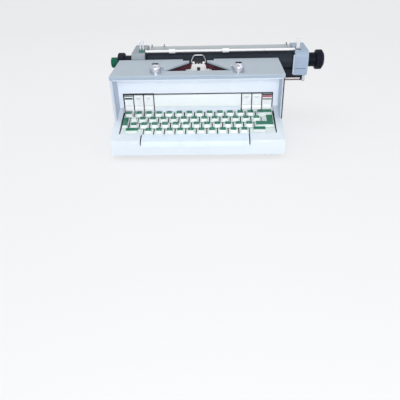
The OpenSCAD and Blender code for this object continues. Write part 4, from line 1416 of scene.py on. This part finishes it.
@dataclass(frozen=True)
class TypeBasket:
    """Segment, typebars, ribbon with its posts and guide, and the card holder."""

    bench: Bench
    print_y: float = 170.78
    print_z: float = 130.85
    lean: float = math.radians(28)
    cover_z: float = 133.5
    posts: tuple[float, float] = (-73.0, 73.0)
    post_y: float = 74.0
    ribbon_height: float = 13.0
    ribbon_low: float = 113.6
    ribbon_thick: float = 0.12
    black_share: float = 0.58
    strands: int = 12
    centre_low: float = -17.2
    pin_x: float = 17.6

    def tilted(self, x: float, y: float, z: float) -> Vector:
        """Return a point given about the printing point, in the plane that the type strikes."""
        c, s = math.cos(self.lean), math.sin(self.lean)
        return Vector((x, self.print_y + y * c + z * s, self.print_z - y * s + z * c))

    def ribbon_rows(self) -> list[tuple[Vector, Vector]]:
        """Return the lower and upper edge of the ribbon at points from the left spool to the right one.

        Returns:
            Pairs of a lower and an upper point.
        """
        outer = [
            (-99.8, 111.3, 0.0), (-92, 109, 0.0), (-84, 106.6, 0.6), (-73, 103.3, 1.8), (-65, 100.9, 2.6),
            (-62, 100.4, 2.8), (-60, 101.6, 2.8),
        ]
        rows = []
        for x, y, lift in outer:
            low = Vector((x, y, self.ribbon_low + lift))
            rows.append((low, low + Vector((0, 0, self.ribbon_height))))
        low = self.centre_low
        high = low + self.ribbon_height
        end = (self.tilted(-self.pin_x, 0.5, low), self.tilted(-self.pin_x, 0.5, high))
        start = rows[-1]
        rows += [tuple(a.lerp(b, k / 9) for a, b in zip(start, end)) for k in range(1, 9)]
        middle = ((-self.pin_x, 0.5), (-self.pin_x + 1.8, 0.35), (-8, 0.3), (0, 0.3))
        rows += [(self.tilted(x, y, low), self.tilted(x, y, high)) for x, y in middle]
        mirror = Vector((-1, 1, 1))
        return rows + [(low * mirror, high * mirror) for low, high in reversed(rows[:-1])]

    def ribbon(self) -> None:
        """Stretch the two-colour ribbon from spool to spool behind the guide."""
        rows = self.ribbon_rows()
        strands = self.strands
        form = Form()
        shares = [k / strands for k in range(strands + 1)]
        grid = [[form.mesh.verts.new(low.lerp(high, share)) for share in shares] for low, high in rows]
        for left, right in zip(grid, grid[1:]):
            for k in range(strands):
                face = form.mesh.faces.new((left[k], right[k], right[k + 1], left[k + 1]))
                face.material_index = 1 if k >= round(strands * self.black_share) else 0
        finishes = [Wardrobe.crimson, Wardrobe.ink]
        name, slot = "ribbon_cloth", "ribbon_fabric"
        cloth = self.bench.piece(name, form, "chassis", finishes, slot, ["ribbon"], degrees=60)
        thick = cloth.modifiers.new("cloth", "SOLIDIFY")
        thick.thickness = self.ribbon_thick * MM
        thick.offset = 0
        length = sum((b[0] - a[0]).length for a, b in zip(rows, rows[1:]))

    def post_tops(self) -> None:
        """Line the dished tops of the two posts with black."""
        form = Form()
        cup = [
            (12.62, 0.2), (12.66, 5.2), (13.0, 5.55), (14.9, 5.86), (15.35, 5.98), (15.3, 5.8), (14.4, 5.45),
            (13.3, 5.2), (12.95, 4.6), (12.9, 0.2),
        ]
        for x in self.posts:
            form.spun(cup, (x, self.post_y, self.cover_z), axis=2, steps=36)
        self.bench.piece("post_tops", form, "chassis", [Wardrobe.black], "black_plastic")

    def guide(self) -> None:
        """Build the white ribbon guide with its fingers, wings and window, on the bracket's place."""
        half = [
            (0.0, -10.2), (2.0, -10.2), (2.2, -8.6), (3.6, -8.6), (3.9, -10.2), (7.6, -10.2), (7.9, -5.4),
            (11.6, -5.4), (12.0, -8.0), (15.2, -18.4), (16.2, -19.6), (18.2, -19.9), (18.5, -19.2),
            (20.2, -19.2), (20.5, -20.1), (22.2, -20.3), (22.5, -19.7), (24.4, -19.7), (25.6, -20.9),
            (26.0, -24.0),
        ]
        side_x, window_x, window_low, window_high, foot_z = 14.5, 3.2, -23.0, -16.0, -24.0
        fingers = [*half[:9], (side_x, window_high), (-side_x, window_high), *mirrored(half[1:9])]
        side = [(window_x, window_high), (side_x, window_high), *half[9:], (window_x, foot_z)]
        foot = [(-window_x, window_low), (window_x, window_low), (window_x, foot_z), (-window_x, foot_z)]
        form = Form()

        def spot(t: float, u: float, v: float) -> Vector:
            """Return a point of the guide from its depth and its outline."""
            return self.tilted(u, t, v)

        for part in (fingers, side, mirrored(side), foot):
            form.prism(part, -1.5, -0.1, spot=spot)
        pane = [(-3.3, -23.1), (3.3, -23.1), (3.3, -15.9), (-3.3, -15.9)]
        form.prism(pane, -0.3, -0.12, 1, spot=spot)
        bracket = [
            (2, -51), (3.4, -51), (3.4, -36.6), (0, -36.6), (0, -23.7), (-1.4, -23.7), (-1.4, -38), (2, -38),
        ]
        form.prism(bracket, -8, 8, spot=self.tilted)
        finishes, slot = [Wardrobe.white, Wardrobe.black], "white_plastic"
        self.bench.piece("ribbon_guide", form, "chassis", finishes, slot, ["type_guide"], round_mm=0.2)

    def wire(self) -> None:
        """Bend the wire of the card holder in one smooth loop."""
        half = [
            (10.4, -2.7, -9.4), (12.6, -2.5, -8.2), (13.9, -2.2, -6.0), (12.9, -1.7, -1.5),
            (11.0, -1.3, 2.6), (9.6, -1.0, 5.2), (7.9, -0.9, 6.6), (5.4, -0.9, 7.0),
        ]
        form = Form()
        path = curve([self.tilted(*point) for point in (*half, *mirrored(half))], steps=5)
        form.tube(path, radius=1.05)
        self.bench.piece("card_wire", form, "chassis", [Wardrobe.wire], "chrome", ["card_holder"])

    def build(self) -> None:
        """Dress and build the parts round the printing point."""
        dress = self.bench.dress
        dress(Wardrobe.steel, "type_segment", round_mm=0.15)
        dress(Wardrobe.steel, "typebars", "center_typebar")
        dress(Wardrobe.bright, "ribbon_posts")
        dress(Wardrobe.spool, "ribbon_spool_left", "ribbon_spool_right", round_mm=0.2)
        self.ribbon()
        self.post_tops()
        self.guide()
        self.wire()


@dataclass(frozen=True)
class Carriage:
    """The moving carriage with its platen, knobs, bail and levers."""

    bench: Bench
    left: float = -104.5
    right: float = 186.5
    lever_y: float = 190.5
    end_front_y: float = 165.0
    end_top_z: float = 143.0
    bail_yz: Point = (179.1, 144.4)
    bail_inset: float = 0.4
    bail_radius: float = 2.4
    pivot_yz: Point = (212.0, 124.0)
    arm_radii: tuple[float, float] = (3.0, 4.5)
    arm_thick: float = 1.4

    def add(self, name: str, finish: Finish, slot: str, edge: float, *boxes: tuple[Point, Point]) -> None:
        """Add a piece of rounded boxes that rides on the carriage.

        Args:
            name: Name of the piece.
            finish: Its finish.
            slot: The record's material slot.
            edge: Radius of the boxes' edges.
            boxes: The low and the high corner of each box.
        """
        form = Form()
        for low, high in boxes:
            form.box(low, high, edge)
        self.bench.piece(name, form, "carriage", [finish], slot)

    def lever_collars(self) -> None:
        """Seat a collar round the foot of the hand levers: green at the left, black at the right."""
        x, y, z = self.left, self.lever_y, self.end_top_z
        form = Form()
        for x0, x1 in ((x - 12.6, x - 12.0), (x - 8.3, x - 6.7), (x - 2.9, x - 2.3)):
            form.box((x0, y - 9.6, z - 0.3), (x1, y + 6.0, z + 2.4), 0.25)
        form.box((x - 12.6, y - 11.4, z - 0.3), (x - 2.3, y - 9.2, z + 3.2), 0.4)
        self.bench.piece("lever_collar_left", form, "carriage", [Wardrobe.collar], "key_green")
        x0, x1 = self.right + 3.0, self.right + 12.4
        self.add(
            "lever_collar_right", Wardrobe.black, "black_plastic", 0.3,
            ((x0, y - 10.6, z - 0.3), (x1, y - 9.1, z + 0.7)),
            ((x0, y + 9.1, z - 0.3), (x1, y + 10.6, z + 0.7)),
        )

    def inlay(self, x0: float, x1: float, z0: float, z1: float) -> tuple[Point, Point]:
        """Return the corners of a box that is inlaid in the front of the end covers."""
        return (x0, self.end_front_y - 0.12, z0), (x1, self.end_front_y + 0.6, z1)

    def end_slots(self) -> None:
        """Inlay the dark slots in the front of the left end cover."""
        x = self.left
        slots = self.inlay(x - 12.4, x - 10.0, 124.5, 132.0), self.inlay(x - 7.6, x - 0.6, 127.6, 131.0)
        self.add("end_slots_left", Wardrobe.black, "black_plastic", 0.1, *slots)

    def end_trims(self) -> None:
        """Add the pale strip beside the platen and a dark line across each end cover, painted shade along
        its crease.
        """
        strip = (self.right - 3.0, 165.4, 99.5), (self.right - 0.1, 167.6, 136.5)
        self.add("platen_side_strip", Wardrobe.cheek, "white_plastic", 0.5, strip)
        ends = (self.left - 22, self.left - 3), (self.right + 3, self.right + 22)
        crease_shades = [self.inlay(x0, x1, 109.9, 111.0) for x0, x1 in ends]
        self.add("end_crease_shades", Wardrobe.crease_shade, "dark_steel", 0.12, *crease_shades)

    def bail(self) -> None:
        """Build the white bail bar with an arm at each end."""
        form = Form()
        x0, x1, radius = self.left + self.bail_inset, self.right - self.bail_inset, self.bail_radius
        profile = [(x0, 0.2), (x0, radius - 0.4), (x0 + 0.5, radius)]
        profile += [(x1 - 0.5, radius), (x1, radius - 0.4), (x1, 0.2)]
        form.spun(profile, (0, *self.bail_yz), axis=0, steps=32)
        top, foot = self.arm_radii
        arm = arc(self.bail_yz, top, 60, 180, 12) + arc(self.pivot_yz, foot, 240, 180, 12)
        for x in (x0, x1 - self.arm_thick):
            form.prism(arm, x, x + self.arm_thick, 1)
        finishes = [Wardrobe.bail, Wardrobe.blade]
        self.bench.piece("bail_rail", form, "bail", finishes, "white_plastic", ["bail_bar"], round_mm=0.2)

    def build(self) -> None:
        """Dress the carriage and add its small pieces."""
        dress = self.bench.dress
        dress(Wardrobe.frame, "carriage_bed", round_mm=0.3)
        dress(Wardrobe.racked, "carriage_frame", round_mm=0.25)
        # The end covers take the shaded and the lit tone of one enamel.
        dress(Wardrobe.shaded_left_end, "carriage_end_left", round_mm=0.9, segments=3)
        dress(Wardrobe.lit_right_end, "carriage_end_right", round_mm=0.9, segments=3)
        dress(Wardrobe.table, "paper_table", round_mm=0.2)
        dress(Wardrobe.platen, "feed_rollers", "platen")
        dress(Wardrobe.steel, "platen_shaft")
        dress(Wardrobe.knob, "knob_left", "knob_right", round_mm=0.3)
        dress(Wardrobe.clutch, "clutch_button", round_mm=0.2)
        dress(Wardrobe.white, "bail_rollers", round_mm=0.3)
        levers = ("paper_release_lever", "carriage_release_lever", "line_space_lever")
        dress(Wardrobe.blade, *levers, round_mm=0.4, segments=3)
        self.lever_collars()
        self.end_slots()
        self.end_trims()
        self.bail()


def main() -> None:
    """Build the machine's looks, class by class."""
    logging.basicConfig(level=logging.INFO, format="%(name)s: %(message)s")
    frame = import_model()
    Studio().build()
    bench = Bench(frame)
    for part in (CaseShell, Drive, TypeBasket, Keyboard, ControlStrip, Carriage):
        part(bench).build()
        LOG.info("%s built", part.__name__)


if __name__ == "__main__":
    main()
